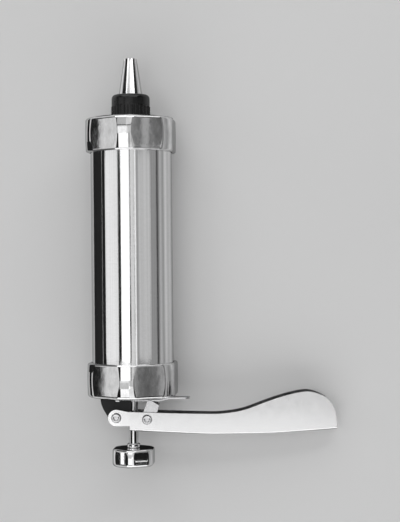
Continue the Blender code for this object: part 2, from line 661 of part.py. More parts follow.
def lever(material, pivot):
    """Channel bent from sheet: two side plates, a web along the back and a round head."""
    head, front, back = lever_edges()
    web_x = FULCRUM_X + WEB_START
    step_up = web_x, FULCRUM_Y - LEVER_HEAD_RADIUS

    def section(level, rise):
        """The lever's outline at a level across it, its back edge raised by the bend."""
        raised = [(x, y + rise) for x, y in back]
        return [(x, y, level) for x, y in front[:-1] + raised + [step_up] + head[::-1]]

    turns = [pi / 2 * step / CORNER_STEPS for step in range(CORNER_STEPS + 1)]
    bend = [(LEVER_HALF_WIDTH - LEVER_BEND * (1 - sin(turn)), LEVER_BEND * (1 - cos(turn)))
            for turn in turns]
    sections = [section(-level, rise) for level, rise in reversed(bend)]
    sections += [section(level, rise) for level, rise in bend]
    made = piece("lever", lofted(sections), material, pivot)
    roof = FULCRUM_Y + LEVER_HUMP + OVERRUN
    left = FULCRUM_X - LEVER_HEAD_RADIUS - OVERRUN
    right = FULCRUM_X + LEVER_REACH + OVERRUN
    floor = [(x, y + LEVER_SHEET) for x, y in back]
    below = FULCRUM_Y - LEVER_BELLY - OVERRUN
    pocket = [(left, roof), (right, roof), (right, floor[0][1])] + floor[1:-1] + [
        (web_x - OVERRUN, floor[-1][1]), (left, floor[-1][1])]
    change(made, prism(pocket, -LEVER_INNER, LEVER_INNER))
    round_end = arc((FULCRUM_X + WEB_SLOT_END - WEB_SLOT_WIDTH / 2, 0), WEB_SLOT_WIDTH / 2,
                    -pi / 2, pi / 2, 8)
    slot = round_end + [(web_x - OVERRUN, WEB_SLOT_WIDTH / 2),
                        (web_x - OVERRUN, -WEB_SLOT_WIDTH / 2)]
    change(made, prism(slot, below, FULCRUM_Y - LEVER_HEAD_RADIUS, "Y"))
    reach = LEVER_HALF_WIDTH + OVERRUN
    for centre, pin in ((FULCRUM, FULCRUM_PIN_RADIUS), (STIRRUP, STIRRUP_PIN_RADIUS)):
        eye = pin + GAP / 2
        change(made, turned([(0, -reach), (eye, -reach), (eye, reach), (0, reach)],
                            SMALL_SIDES, "Z", centre))
    return made


def lever_pin(name, radius, centre, material, pivot):
    """Rivet across the lever, with a dimpled head at each end."""
    seat = LEVER_HALF_WIDTH + GAP
    top = seat + PIN_HEAD
    floor = top - PIN_DIMPLE
    profile = [
        (0, -floor), (PIN_DIMPLE_RADIUS, -floor), (PIN_DIMPLE_RADIUS, -top),
        (PIN_HEAD_RADIUS * PIN_TOP_SHARE, -top), (PIN_HEAD_RADIUS, -seat), (radius, -seat)]
    profile += [(out, -along) for out, along in reversed(profile)]
    return piece(name, turned(profile, SMALL_SIDES, "Z", centre), material, pivot)


def fulcrum_washers(material, pivot):
    """A washer between each ear and the lever's side plate."""
    middle = (EAR_HALF_WIDTH + LEVER_INNER) / 2
    for number, side in enumerate((-1, 1), 1):
        low = side * middle - WASHER_SHEET / 2
        profile = [(FULCRUM_PIN_RADIUS + GAP, low), (WASHER_RADIUS, low),
                   (WASHER_RADIUS, low + WASHER_SHEET),
                   (FULCRUM_PIN_RADIUS + GAP, low + WASHER_SHEET)]
        piece(f"fulcrum_washer_{number}", turned(profile, SMALL_SIDES, "Z", FULCRUM),
              material, pivot)


def drive_stirrup(material, pivot):
    """Two cheeks beside the rod, joined by a web on the lever's side."""
    boss = arc(STIRRUP, STIRRUP_BOSS_RADIUS, radians(180), radians(360), 10)
    cheek = [(STIRRUP.x + side * STIRRUP_SIDE, STIRRUP.y + rise * STIRRUP_RISE)
             for side, rise in STIRRUP_CHEEK_SHARES]
    body = prism(boss + cheek, -STIRRUP_HALF_WIDTH, STIRRUP_HALF_WIDTH)
    made = piece("drive_stirrup", body, material, pivot)
    foot, top = Vector(cheek[0]), Vector(cheek[1])
    along = (top - foot).normalized()
    inward = Vector((-along.y, along.x)) * STIRRUP_SHEET
    reach = STIRRUP_RISE + OVERRUN
    low, high = foot + inward - along * reach, top + inward + along * reach
    far = STIRRUP.x - STIRRUP_SIDE - OVERRUN
    pocket = [tuple(low), tuple(high), (far, high.y), (far, low.y)]
    change(made, prism(pocket, -STIRRUP_INNER, STIRRUP_INNER))
    cut = STIRRUP_HALF_WIDTH + OVERRUN
    eye = STIRRUP_PIN_RADIUS + GAP
    change(made, turned([(0, -cut), (eye, -cut), (eye, cut), (0, cut)],
                        SMALL_SIDES, "Z", STIRRUP))
    return made


def grip_cam(material, pivot):
    """Hardened cam on the stirrup's pin whose nose jams against the rod."""
    spread = asin((CAM_BOSS_RADIUS - CAM_NOSE_RADIUS) / (CAM_LENGTH - CAM_NOSE_RADIUS))
    nose = (STIRRUP.x + (CAM_LENGTH - CAM_NOSE_RADIUS) * cos(CAM_ANGLE),
            STIRRUP.y + (CAM_LENGTH - CAM_NOSE_RADIUS) * sin(CAM_ANGLE))
    half = pi / 2 - spread
    outline = arc(nose, CAM_NOSE_RADIUS, CAM_ANGLE - half, CAM_ANGLE + half, 6)
    outline += arc(STIRRUP, CAM_BOSS_RADIUS, CAM_ANGLE + half, CAM_ANGLE - half + 2 * pi, 14)
    made = piece("grip_cam", prism(outline, -STIRRUP_INNER + GAP, CAM_SIDE), material, pivot)
    eye = STIRRUP_PIN_RADIUS + GAP
    reach = STIRRUP_INNER + OVERRUN
    change(made, turned([(0, -reach), (eye, -reach), (eye, reach), (0, reach)],
                        SMALL_SIDES, "Z", STIRRUP))
    return made


def stirrup_spring(material, pivot):
    """Torsion spring on the stirrup's pin, one leg to each side of its coil."""
    radius = STIRRUP_PIN_RADIUS + GAP + STIRRUP_WIRE / 2
    start = STIRRUP_SPRING_START
    count = int(STIRRUP_SPRING_TURNS * COIL_POINTS)
    low = CAM_SIDE + GAP + STIRRUP_WIRE / 2
    turns = []
    for step in range(count + 1):
        share = step / COIL_POINTS
        angle = start + 2 * pi * share
        turns.append(STIRRUP + Vector((radius * cos(angle), radius * sin(angle),
                                       low + STIRRUP_SPRING_PITCH * share)))
    last = start + 2 * pi * count / COIL_POINTS
    first_leg = turns[0] + Vector((-sin(start), cos(start), 0)) * -STIRRUP_LEG
    last_leg = turns[-1] + Vector((-sin(last), cos(last), 0)) * STIRRUP_LEG
    return coil("stirrup_spring", [first_leg] + turns + [last_leg],
                STIRRUP_WIRE, material, pivot)


def lock_plate(material, pivot):
    """Bent plate round the rod, with its heel held in the ears and a thumb tab."""
    tab = -LOCK_SETBACK
    stations = [(LOCK_HEEL_X - LOCK_HEEL_LENGTH, LOCK_MIDDLE, LOCK_HALF_WIDTH)]
    for step in range(LOCK_BEND_STEPS + 1):
        share = step / LOCK_BEND_STEPS
        stations.append((LOCK_BEND_X + LOCK_BEND_LENGTH * share,
                         LOCK_MIDDLE + (tab - LOCK_MIDDLE) * (1 - cos(pi * share)) / 2,
                         LOCK_HALF_WIDTH + (LOCK_TAB_HALF - LOCK_HALF_WIDTH) * share))
    stations += [(LOCK_TAB_END - LOCK_TAB_HALF * back, tab, LOCK_TAB_HALF * wide)
                 for back, wide in LOCK_TAB_END_SHARES]
    half = LOCK_SHEET / 2
    sections = [((x, y - half, -wide), (x, y + half, -wide),
                 (x, y + half, wide), (x, y - half, wide)) for x, y, wide in stations]
    plate = piece("lock_plate", lofted(sections), material, pivot, False)
    lug = Vector((LOCK_LUG_WIDTH / 2, LOCK_LUG_SHEET / 2, EAR_HALF_WIDTH))
    change(plate, box(LOCK_HEEL - lug, LOCK_HEEL + lug), "UNION")
    hole = ROD_RADIUS + LOCK_HOLE_CLEARANCE
    change(plate, turned([
        (0, LOCK_MIDDLE - OVERRUN), (hole, LOCK_MIDDLE - OVERRUN),
        (hole, LOCK_MIDDLE + OVERRUN), (0, LOCK_MIDDLE + OVERRUN)], SMALL_SIDES))
    return plate


def lock_spring(material, pivot):
    """Coil spring round the rod, between the bush and the lock plate."""
    front = BUSH_REAR - GAP
    rear = LOCK_FRONT + GAP
    stub = LOCK_WIRE
    first, last = rear + stub, front - stub
    count = LOCK_SPRING_TURNS * COIL_POINTS
    turns = []
    for step in range(count + 1):
        angle = 2 * pi * step / COIL_POINTS
        turns.append(Vector((LOCK_SPRING_RADIUS * sin(angle), first + (last - first) * step / count,
                             LOCK_SPRING_RADIUS * cos(angle))))
    head = Vector((turns[0].x, rear, turns[0].z))
    tail = Vector((turns[-1].x, front, turns[-1].z))
    return coil("lock_spring", [head] + turns + [tail], LOCK_WIRE, material, pivot)


def rod(material, pivot):
    """Smooth round rod from the knob's socket to the piston nut."""
    rear = KNOB_FRONT - KNOB_SOCKET + GAP
    profile = [
        (0, rear), (ROD_RADIUS - ROD_EDGE, rear), (ROD_RADIUS, rear + ROD_EDGE),
        (ROD_RADIUS, ROD_FRONT - ROD_EDGE), (ROD_RADIUS - ROD_EDGE, ROD_FRONT),
        (0, ROD_FRONT)]
    return piece("rod", turned(profile, SMALL_SIDES), material, pivot)


def knob(material, pivot):
    """Pull knob with six flats and a blind socket for the rod."""
    side = crowned_side(KNOB_RADIUS, KNOB_CROWN, KNOB_HEIGHT, KNOB_CORNER, KNOB_FRONT_EDGE)
    outer = [(radius, KNOB_REAR + depth) for radius, depth in side]
    floor = KNOB_FRONT - KNOB_SOCKET
    profile = [(0, KNOB_REAR)] + outer + [
        (ROD_HOLE, KNOB_FRONT), (ROD_HOLE, floor), (0, floor)]
    body = turned(profile, 2 * SMALL_SIDES)
    cut_flats(body, KNOB_RADIUS - KNOB_FLAT_DEPTH)
    return piece("knob", body, material, pivot)


def sleeve(name, bore, radius, rear, length, material, pivot, flat=0):
    """A collar, washer or six-sided nut round the barrel's axis."""
    profile = [(bore, rear), (radius, rear), (radius, rear + length), (bore, rear + length)]
    body = turned(profile, SMALL_SIDES)
    if flat:
        cut_flats(body, flat)
    return piece(name, body, material, pivot)


def piston(material, pivot):
    """Disc with a skirt, a hub and a groove for the seal."""
    inner = PISTON_RADIUS - PISTON_SKIRT_WALL
    skirt = PISTON_FACE - PISTON_SKIRT
    groove = PISTON_RADIUS - SEAL_GROOVE_DEPTH
    groove_rear = PISTON_FACE - (PISTON_DISC + SEAL_GROOVE) / 2
    groove_front = groove_rear + SEAL_GROOVE
    profile = [
        (ROD_HOLE, PISTON_FACE), (PISTON_RADIUS, PISTON_FACE),
        (PISTON_RADIUS, groove_front), (groove, groove_front),
        (groove, groove_rear), (PISTON_RADIUS, groove_rear),
        (PISTON_RADIUS, skirt), (inner, skirt), (inner, PISTON_BACK),
        (PISTON_HUB_RADIUS, PISTON_BACK), (PISTON_HUB_RADIUS, PISTON_HUB_REAR),
        (ROD_HOLE, PISTON_HUB_REAR)]
    return piece("piston", turned(profile), material, pivot)


def piston_seal(material, pivot):
    """Lip ring in the piston's groove."""
    groove_rear = PISTON_FACE - (PISTON_DISC + SEAL_GROOVE) / 2
    rear, front = groove_rear + GAP, groove_rear + SEAL_GROOVE - GAP
    inner = PISTON_RADIUS - SEAL_GROOVE_DEPTH + GAP
    profile = [(inner, rear), (PISTON_RADIUS, rear), (SEAL_RADIUS, (rear + front) / 2),
               (PISTON_RADIUS, front), (inner, front)]
    return piece("piston_seal", turned(profile), material, pivot)


def main():
    clear_scene()
    polished = finish("polished_metal", (0.86, 0.86, 0.87), 1.0, 0.08)
    steel = finish("bright_steel", (0.72, 0.72, 0.73), 1.0, 0.2)
    dark = finish("dark_bracket", (0.045, 0.045, 0.048), 0.3, 0.45)
    black = finish("black_plastic", (0.012, 0.012, 0.013), 0.0, 0.4)
    grey = finish("grey_plastic", (0.35, 0.35, 0.36), 0.0, 0.45)
    rubber = finish("seal_rubber", (0.5, 0.5, 0.5), 0.0, 0.6)

    flat_half = acos(1 - RING_FLAT_DEPTH / RING_RADIUS)
    flat_edge = FLAT_PHASE - 4 * pi / FLAT_COUNT - flat_half
    left = RING_RADIUS * sin(flat_edge + ROLL)
    right = LEVER_END_X * cos(ROLL) + LEVER_HALF_WIDTH * sin(ROLL)
    press = empty("press", (-(left + right) / 2, -(TIP_END + KNOB_REAR) / 2, RING_RADIUS))
    press.rotation_euler = (0, ROLL, 0)
    lever_pivot = empty("lever_pivot", FULCRUM, press)
    stirrup_pivot = empty("stirrup_pivot", STIRRUP, press)
    lock_pivot = empty("lock_pivot", LOCK_HEEL, press)

    barrel(polished, press)
    screw_ring("front_ring", RING_FRONT, -1, polished, press)
    screw_ring("rear_ring", 0, 1, polished, press)
    nozzle_adapter(black, press)
    nozzle_nut(black, press)
    icing_tip(steel, press)
    rear_plug(grey, press)
    rod_bush(black, press)
    fulcrum_bracket(dark, press)
    bracket_rivets(steel, press)
    lever(polished, lever_pivot)
    lever_pin("fulcrum_pin", FULCRUM_PIN_RADIUS, FULCRUM, steel, lever_pivot)
    fulcrum_washers(black, lever_pivot)
    lever_pin("stirrup_pin", STIRRUP_PIN_RADIUS, STIRRUP, steel, lever_pivot)
    drive_stirrup(steel, stirrup_pivot)
    grip_cam(steel, stirrup_pivot)
    stirrup_spring(steel, lever_pivot)
    lock_plate(steel, lock_pivot)
    lock_spring(steel, press)
    rod(polished, press)
    knob(polished, press)
    sleeve("knob_lock_nut", ROD_HOLE, LOCK_NUT_RADIUS, KNOB_FRONT + GAP, LOCK_NUT_HEIGHT,
           polished, press)
    piston(grey, press)
    piston_seal(rubber, press)
    sleeve("piston_washer", ROD_HOLE, PISTON_WASHER_RADIUS, WASHER_REAR,
           PISTON_WASHER_SHEET, steel, press)
    sleeve("piston_nut", ROD_HOLE, PISTON_NUT_RADIUS, PISTON_NUT_REAR, PISTON_NUT_HEIGHT,
           steel, press, PISTON_NUT_FLAT)
    sleeve("piston_collar", ROD_HOLE, PISTON_COLLAR_RADIUS,
           PISTON_HUB_REAR - GAP - PISTON_COLLAR_HEIGHT, PISTON_COLLAR_HEIGHT, steel, press)


main()
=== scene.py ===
# %% [markdown]
# # A lever cookie press in polished metal
#
# The press lies on its two screw rings and the end of its lever, and is seen square to
# the lever. It is nearly all mirror: a drawn tube, two screw rings with six flats, a steel
# rod and knob, and a lever bent from bright sheet. Only the nut at the nozzle is black.
# A mirror has hardly any colour of its own, so its looks come from three things, which
# the cells below make in turn: edges with a true small radius, a surface that isn't quite
# even, and a studio of plain lamps and dark gaps for it to reflect.
#
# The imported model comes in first, as a fixed frame. Its boxes and joints give the places
# that all finished pieces are built on, so nothing has to be fitted afterwards.

import json
from math import asin, atan2, cos, pi, radians, sin, tan

import bmesh
import bpy
from mathutils import Matrix, Vector


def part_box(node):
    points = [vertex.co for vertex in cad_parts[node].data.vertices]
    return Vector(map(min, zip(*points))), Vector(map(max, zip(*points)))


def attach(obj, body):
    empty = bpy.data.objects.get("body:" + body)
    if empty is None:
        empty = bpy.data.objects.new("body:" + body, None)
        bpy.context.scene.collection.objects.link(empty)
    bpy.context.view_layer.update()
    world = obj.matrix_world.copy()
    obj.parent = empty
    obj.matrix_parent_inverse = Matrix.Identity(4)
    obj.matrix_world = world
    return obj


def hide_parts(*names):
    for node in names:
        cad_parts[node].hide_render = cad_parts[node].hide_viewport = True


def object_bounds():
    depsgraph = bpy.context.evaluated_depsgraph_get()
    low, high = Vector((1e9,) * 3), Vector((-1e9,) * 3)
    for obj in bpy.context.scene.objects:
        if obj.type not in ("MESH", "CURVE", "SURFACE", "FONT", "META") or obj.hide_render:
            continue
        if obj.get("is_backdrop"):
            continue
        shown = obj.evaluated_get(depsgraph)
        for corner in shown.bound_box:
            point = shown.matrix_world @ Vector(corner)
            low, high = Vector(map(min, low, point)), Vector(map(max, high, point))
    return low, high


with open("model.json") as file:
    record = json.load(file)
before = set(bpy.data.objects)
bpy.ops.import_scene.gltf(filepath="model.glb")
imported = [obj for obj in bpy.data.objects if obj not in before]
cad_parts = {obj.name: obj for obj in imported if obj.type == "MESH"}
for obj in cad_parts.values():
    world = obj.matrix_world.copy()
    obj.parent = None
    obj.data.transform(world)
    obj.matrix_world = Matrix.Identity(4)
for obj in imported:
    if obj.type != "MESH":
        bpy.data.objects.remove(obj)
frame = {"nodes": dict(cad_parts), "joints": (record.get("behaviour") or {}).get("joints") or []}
cad_low, cad_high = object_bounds()
MM = 0.001
print("frame nodes:", len(frame["nodes"]))

# %% [markdown]
# ## The press's own axes
#
# The lever's joint says how far the press is rolled, and the boxes of the tube and the
# rear ring say where it lies. Every piece is drawn in press axes: x from the tube's middle
# towards the lever's end, y along the tube towards the nozzle with zero at the rear ring's
# outer face, and z square to the lever. One matrix then carries it into place.

# %% Press axes from the frame
swing = next(joint for joint in frame["joints"] if joint["name"] == "lever_swing")
ROLL = atan2(-swing["axis"][0], -swing["axis"][2])
tube_low, tube_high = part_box("barrel")
middle = (tube_low + tube_high) / 2
REAR_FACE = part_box("rear_ring")[0].y
PRESS = Matrix.Translation((middle.x, REAR_FACE, middle.z)) @ Matrix.Rotation(ROLL, 4, "Y")


def span(node):
    """First and last place of a node along the tube, in press axes."""
    low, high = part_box(node)
    return low.y - REAR_FACE, high.y - REAR_FACE


print(f"rolled {ROLL / radians(1):.2f} degrees; tube from {span('barrel')[0] / MM:.1f} mm")

# %% [markdown]
# ## A small language for node trees
#
# Material and geometry trees are both graphs of nodes, and long lists of links are hard to
# read. `Wire` wraps a socket and answers to arithmetic, so a formula in the script looks
# like the formula on paper. `Graph.node` makes any other node: its settings first, then
# the values or wires of its sockets.

# %% Wires and graphs
class Wire:
    """A socket whose arithmetic adds Math nodes to its graph."""

    def __init__(self, graph, socket):
        self.graph = graph
        self.socket = socket

    def __add__(self, other):
        return self.graph.maths("ADD", self, other)

    def __radd__(self, other):
        return self.graph.maths("ADD", other, self)

    def __sub__(self, other):
        return self.graph.maths("SUBTRACT", self, other)

    def __rsub__(self, other):
        return self.graph.maths("SUBTRACT", other, self)

    def __mul__(self, other):
        return self.graph.maths("MULTIPLY", self, other)

    def __rmul__(self, other):
        return self.graph.maths("MULTIPLY", other, self)

    def __truediv__(self, other):
        return self.graph.maths("DIVIDE", self, other)

    def __rtruediv__(self, other):
        return self.graph.maths("DIVIDE", other, self)


class Graph:
    """A node tree, with one way to add a node and one way to join sockets."""

    def __init__(self, tree):
        self.tree = tree

    def join(self, value, socket):
        if isinstance(value, Wire):
            self.tree.links.new(value.socket, socket)
        else:
            socket.default_value = value

    def node(self, kind, settings=None, inputs=None, output=0):
        made = self.tree.nodes.new(kind)
        for name, value in (settings or {}).items():
            if name == "stops":
                self.set_stops(made.color_ramp, value)
            else:
                setattr(made, name, value)
        for name, value in (inputs or {}).items():
            self.join(value, made.inputs[name])
        return Wire(self, made.outputs[output])

    def set_stops(self, ramp, stops):
        """A ramp's stops, as pairs of place and grey level."""
        while len(ramp.elements) < len(stops):
            ramp.elements.new(1)
        for element, (place, level) in zip(ramp.elements, stops):
            element.position = place
            element.color = (level, level, level, 1)

    def maths(self, operation, *values):
        return self.node("ShaderNodeMath", {"operation": operation}, dict(enumerate(values)))


# %% [markdown]
# ## Finishes
#
# A finish starts from the Principled shader. All patterns read the piece's own object
# coordinates, turned into press axes by a Mapping node, so that drawn lines run along the
# tube and turned lines run round it. Colour, roughness and bump are the only things that
# vary; everything that is the same all over is set on the shader itself.

# %% The finish class
class Finish(Graph):
    """A procedural surface, named after the material slot that it dresses."""

    def __init__(self, slot, colour, metallic, roughness, **constants):
        self.slot = slot
        self.material = bpy.data.materials.new(slot + "_finish")
        self.material.use_nodes = True
        super().__init__(self.material.node_tree)
        self.shader = self.tree.nodes["Principled BSDF"]
        self.shader.inputs["Base Color"].default_value = (*colour, 1)
        self.shader.inputs["Metallic"].default_value = metallic
        self.shader.inputs["Roughness"].default_value = roughness
        for name, value in constants.items():
            self.shader.inputs[name.replace("_", " ")].default_value = value
        self.colour = colour
        self.roughness = roughness

    def place(self, scale=(1, 1, 1)):
        """Press coordinates, with each axis stretched by its scale."""
        here = self.node("ShaderNodeTexCoord", output="Object")
        turned = self.node("ShaderNodeMapping", {"vector_type": "TEXTURE"}, {
            "Vector": here, "Location": PRESS.translation, "Rotation": (0, ROLL, 0)})
        return self.node("ShaderNodeMapping", {"vector_type": "POINT"}, {
            "Vector": turned, "Scale": scale})

    def noise(self, scale, size=1.0, detail=3.0, roughness=0.5):
        """Noise with this many spots in a metre along each press axis."""
        return self.node("ShaderNodeTexNoise", {"noise_dimensions": "3D"}, {
            "Vector": self.place(scale), "Scale": size, "Detail": detail,
            "Roughness": roughness}, "Fac")

    def spread(self, value, low, high, start=0.3, end=0.7):
        """Carries a noise's middle range onto the range from low to high."""
        return self.node("ShaderNodeMapRange", {"clamp": True}, {
            "Value": value, "From Min": start, "From Max": end,
            "To Min": low, "To Max": high})

    def tint(self, mask, low, high):
        """Base colour between two strengths of the finish's own colour."""
        mixed = self.node("ShaderNodeMix", {"data_type": "RGBA"}, {
            0: mask, 6: (*[part * low for part in self.colour], 1),
            7: (*[min(part * high, 1) for part in self.colour], 1)}, 2)
        self.join(mixed, self.shader.inputs["Base Color"])

    def rough(self, wire):
        self.join(wire, self.shader.inputs["Roughness"])

    def bump(self, height, distance, strength=1.0):
        raised = self.node("ShaderNodeBump", None, {
            "Height": height, "Distance": distance, "Strength": strength}, "Normal")
        self.join(raised, self.shader.inputs["Normal"])


# %% [markdown]
# ## Bright metals
#
# The tube is drawn, so faint lines run its whole length and make soft streaks in what it
# mirrors, and wiping has left fine scratches round it. The rings and the knob are cast,
# ground on their flats and plated: there the surface is a little wavy, with rubbed
# patches. The lever is plated sheet, even and bright. Each of these is noise at the scale
# of the real mark, as bump for the streaks, as roughness for the rubbed places and as a
# small change of colour for the scratches.

# %% Polished and plated finishes
def drawn_metal(slot, colour, roughness, streak, rub, scratches=0.0):
    """Bright metal with lines along the tube, rubbed patches and fine scratches round it."""
    finish = Finish(slot, colour, 1.0, roughness)
    lines = finish.noise((900, 3, 900), detail=4.0, roughness=0.6)
    patches = finish.noise((60, 25, 60), detail=3.0)
    finish.rough(finish.spread(patches, roughness, roughness + rub))
    marks = finish.noise((260, 2400, 260), detail=2.0, roughness=0.6)
    finish.tint(finish.spread(lines + scratches * (marks - 0.5), 0.0, 1.0), 0.9, 1.03)
    finish.bump(lines, streak)
    return finish


def plated_metal(slot, colour, roughness, wave, rub, spots=(110, 110, 110), mottle=0.93):
    """Plated casting or sheet: slightly wavy, with rubbed patches and hairline marks."""
    finish = Finish(slot, colour, 1.0, roughness)
    waves = finish.noise(spots, detail=2.0)
    patches = finish.noise((300, 160, 300), detail=5.0, roughness=0.65)
    hairs = finish.noise((2600, 180, 2600), detail=2.0)
    finish.rough(finish.spread(patches, roughness, roughness + rub))
    finish.tint(finish.spread(patches, 0.0, 1.0), mottle, 1.02)
    finish.bump(waves + 0.06 * hairs, wave)
    return finish


polished_tube = drawn_metal("polished_tube", (0.93, 0.93, 0.935), 0.03, 0.00002, 0.07,
                            scratches=0.45)
polished_ring = plated_metal("polished_ring", (0.9, 0.9, 0.905), 0.015, 0.00001, 0.035,
                             mottle=0.76)
knob_chrome = plated_metal("polished_ring", (0.9, 0.9, 0.905), 0.006, 0.000002, 0.02,
                           mottle=0.93)
lever_chrome = plated_metal("lever_chrome", (0.93, 0.93, 0.935), 0.09, 0.00003, 0.07,
                            spots=(40, 40, 40))
rod_steel = drawn_metal("rod_steel", (0.9, 0.9, 0.905), 0.015, 0.000006, 0.03)
tip_steel = drawn_metal("tip_steel", (0.9, 0.9, 0.905), 0.06, 0.00001, 0.08)
bright_steel = plated_metal("bright_steel", (0.78, 0.78, 0.79), 0.13, 0.00003, 0.12)
spring_steel = drawn_metal("spring_steel", (0.55, 0.55, 0.56), 0.22, 0.00001, 0.1)
print("bright finishes:", len(bpy.data.materials))

# %% [markdown]
# ## Dark and plain finishes
#
# The nut and the plate under it are moulded black plastic with a fine grain, the bracket
# behind the rear ring is sheet steel in dark paint, and the plug and piston inside are grey
# plastic with a rubber lip. Their grain is bump, and their small changes of gloss are what
# keeps them from looking like flat colour.

# %% Plastic, paint and rubber finishes
def grained(slot, colour, roughness, grain, height, metallic=0.0, **constants):
    """A moulded or painted surface with a fine even grain."""
    finish = Finish(slot, colour, metallic, roughness, **constants)
    cloud = finish.noise((70, 70, 70), detail=4.0)
    fine = finish.noise((grain, grain, grain), detail=3.0, roughness=0.6)
    finish.rough(finish.spread(cloud, roughness - 0.06, roughness + 0.1))
    finish.tint(cloud, 0.85, 1.12)
    finish.bump(fine, height)
    return finish


black_plastic = grained("black_plastic", (0.006, 0.006, 0.0063), 0.22, 2500, 0.000006,
                        Specular_IOR_Level=0.5)
dark_paint = grained("dark_paint", (0.022, 0.022, 0.023), 0.45, 1800, 0.00003,
                     Specular_IOR_Level=0.25)
grey_plastic = grained("grey_plastic", (0.34, 0.34, 0.35), 0.45, 2200, 0.00002)
seal_rubber = grained("seal_rubber", (0.42, 0.42, 0.43), 0.62, 1500, 0.00003)

# %% [markdown]
# ## Turned pieces with true edges
#
# Nearly everything here is round, so it is drawn as half a section and turned. A machined
# corner is never quite sharp: it has a radius of a few tenths of a millimetre that catches
# a thin line of light. `eased` rounds each corner of a section by its own radius, and sets
# one more point on either side, so that the shading of a flat face stays flat.

# %% Sections and turning
EASE = 0.25 * MM                    # usual radius of a machined edge
HAIR = 0.1 * MM                     # an edge that is only just broken
EASE_STEPS = 4
ROUND_SIDES = 256
SMALL_SIDES = 96


def eased(section, radius=EASE):
    """Rounds the corners of a section of (radius, place) points.

    A point may name a radius of its own as a third value. A section that starts on the
    axis is open there, and any other one is closed.
    """
    points = [Vector(point[:2]) for point in section]
    radii = [point[2] if len(point) > 2 else radius for point in section]
    count = len(points)
    solid = points[0].x == 0
    made = []
    for index, (here, wanted) in enumerate(zip(points, radii)):
        if (solid and index in (0, count - 1)) or wanted == 0:
            made.append(tuple(here))
            continue
        before = points[index - 1] - here
        after = points[(index + 1) % count] - here
        half = before.angle(after) / 2
        if half > radians(85):
            made.append(tuple(here))
            continue
        run = min(wanted / tan(half), 0.4 * before.length, 0.4 * after.length)
        real = run * tan(half)
        before.normalize()
        after.normalize()
        centre = here + (before + after).normalized() * (real / sin(half))
        start = here + before * run - centre
        sweep = start.angle_signed(here + after * run - centre)
        made.append(tuple(here + before * run * 1.2))
        for step in range(EASE_STEPS + 1):
            turn = Matrix.Rotation(-sweep * step / EASE_STEPS, 2)
            made.append(tuple(centre + turn @ start))
        made.append(tuple(here + after * run * 1.2))
    return made


def turned(section, sides=ROUND_SIDES, centre=(0, 0, 0), along="y"):
    """A body from a section turned about the tube's axis, or one square to the lever."""
    body = bmesh.new()
    solid = section[0][0] == 0
    loops = []
    for radius, place in section:
        if radius == 0:
            loops.append([body.verts.new((0, place, 0))])
            continue
        loops.append([body.verts.new((radius * sin(2 * pi * side / sides), place,
                                      radius * cos(2 * pi * side / sides)))
                      for side in range(sides)])
    pairs = list(zip(loops, loops[1:]))
    if not solid:
        pairs.append((loops[-1], loops[0]))
    for low, high in pairs:
        for side in range(sides):
            after = (side + 1) % sides
            corners = [low[side % len(low)], low[after % len(low)],
                       high[after % len(high)], high[side % len(high)]]
            body.faces.new(list(dict.fromkeys(corners)))
    if along == "z":
        bmesh.ops.rotate(body, verts=body.verts[:], matrix=Matrix.Rotation(pi / 2, 3, "X"))
    bmesh.ops.translate(body, verts=body.verts[:], vec=centre)
    return body


# %% [markdown]
# ## Handing a piece to the frame
#
# A finished piece has its place in its mesh and its object at the origin. It rides on the
# body that carries it and stands for the nodes that it replaces.

# %% Placing pieces
SHARP = radians(32)


def placed(body, matrix=PRESS):
    """Carries a body drawn in press axes into the frame, with its faces pointing out."""
    bmesh.ops.transform(body, matrix=matrix, verts=body.verts[:])
    bmesh.ops.recalc_face_normals(body, faces=body.faces[:])
    return body


def linked(name, data):
    """A new object in the scene, at the origin."""
    made = bpy.data.objects.new(name, data)
    bpy.context.scene.collection.objects.link(made)
    return made


def as_object(name, body, finish=None):
    """A body as a smooth object with its true edges kept sharp."""
    mesh = bpy.data.meshes.new(name)
    body.to_mesh(mesh)
    body.free()
    mesh.shade_smooth()
    mesh.set_sharp_from_angle(angle=SHARP)
    if finish:
        mesh.materials.append(finish.material)
    return linked(name, mesh)


def hand_over(made, finish, carrier, *stands_for):
    """Rides the piece on its body and lets it stand for frame nodes."""
    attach(made, carrier)
    if stands_for:
        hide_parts(*stands_for)
    print(f"{made.name}: {len(made.data.polygons)} faces")
    return made


def turned_piece(name, section, finish, carrier, *stands_for, sides=ROUND_SIDES, radius=EASE):
    body = placed(turned(eased(section, radius), sides))
    return hand_over(as_object(name, body, finish), finish, carrier, *stands_for)


# %% [markdown]
# ## The tube
#
# The barrel is a plain drawn tube. Both ends are turned square with a small chamfer inside
# and out, and hide in the screw rings.

# %% The tube
TUBE_RADIUS = 25.0 * MM
TUBE_WALL = 1.2 * MM
TUBE_BORE = TUBE_RADIUS - TUBE_WALL
tube_rear, tube_front = span("barrel")
turned_piece("polished_barrel", [
    (TUBE_BORE, tube_rear), (TUBE_RADIUS, tube_rear), (TUBE_RADIUS, tube_front),
    (TUBE_BORE, tube_front)], polished_tube, "barrel_body", "barrel")

# %% [markdown]
# ## Flats by a rule
#
# The rings and the knob are barrel-shaped turnings with six ground flats. Where a flat
# plane cuts a crowned surface its edges bow like brackets, and that is hard to draw but
# easy to state: at an angle `a` from a flat's middle, no point may lie further out than
# `distance / cos(a)`. A Geometry Nodes tree states exactly this. The outline of the ground
# ring is the smooth minimum of the crowned land and that limit, and the smoothness is the
# small radius that polishing leaves on the edge. The rounded rims follow that outline: a
# point that lies some way inside the land ends up the same way inside the outline.

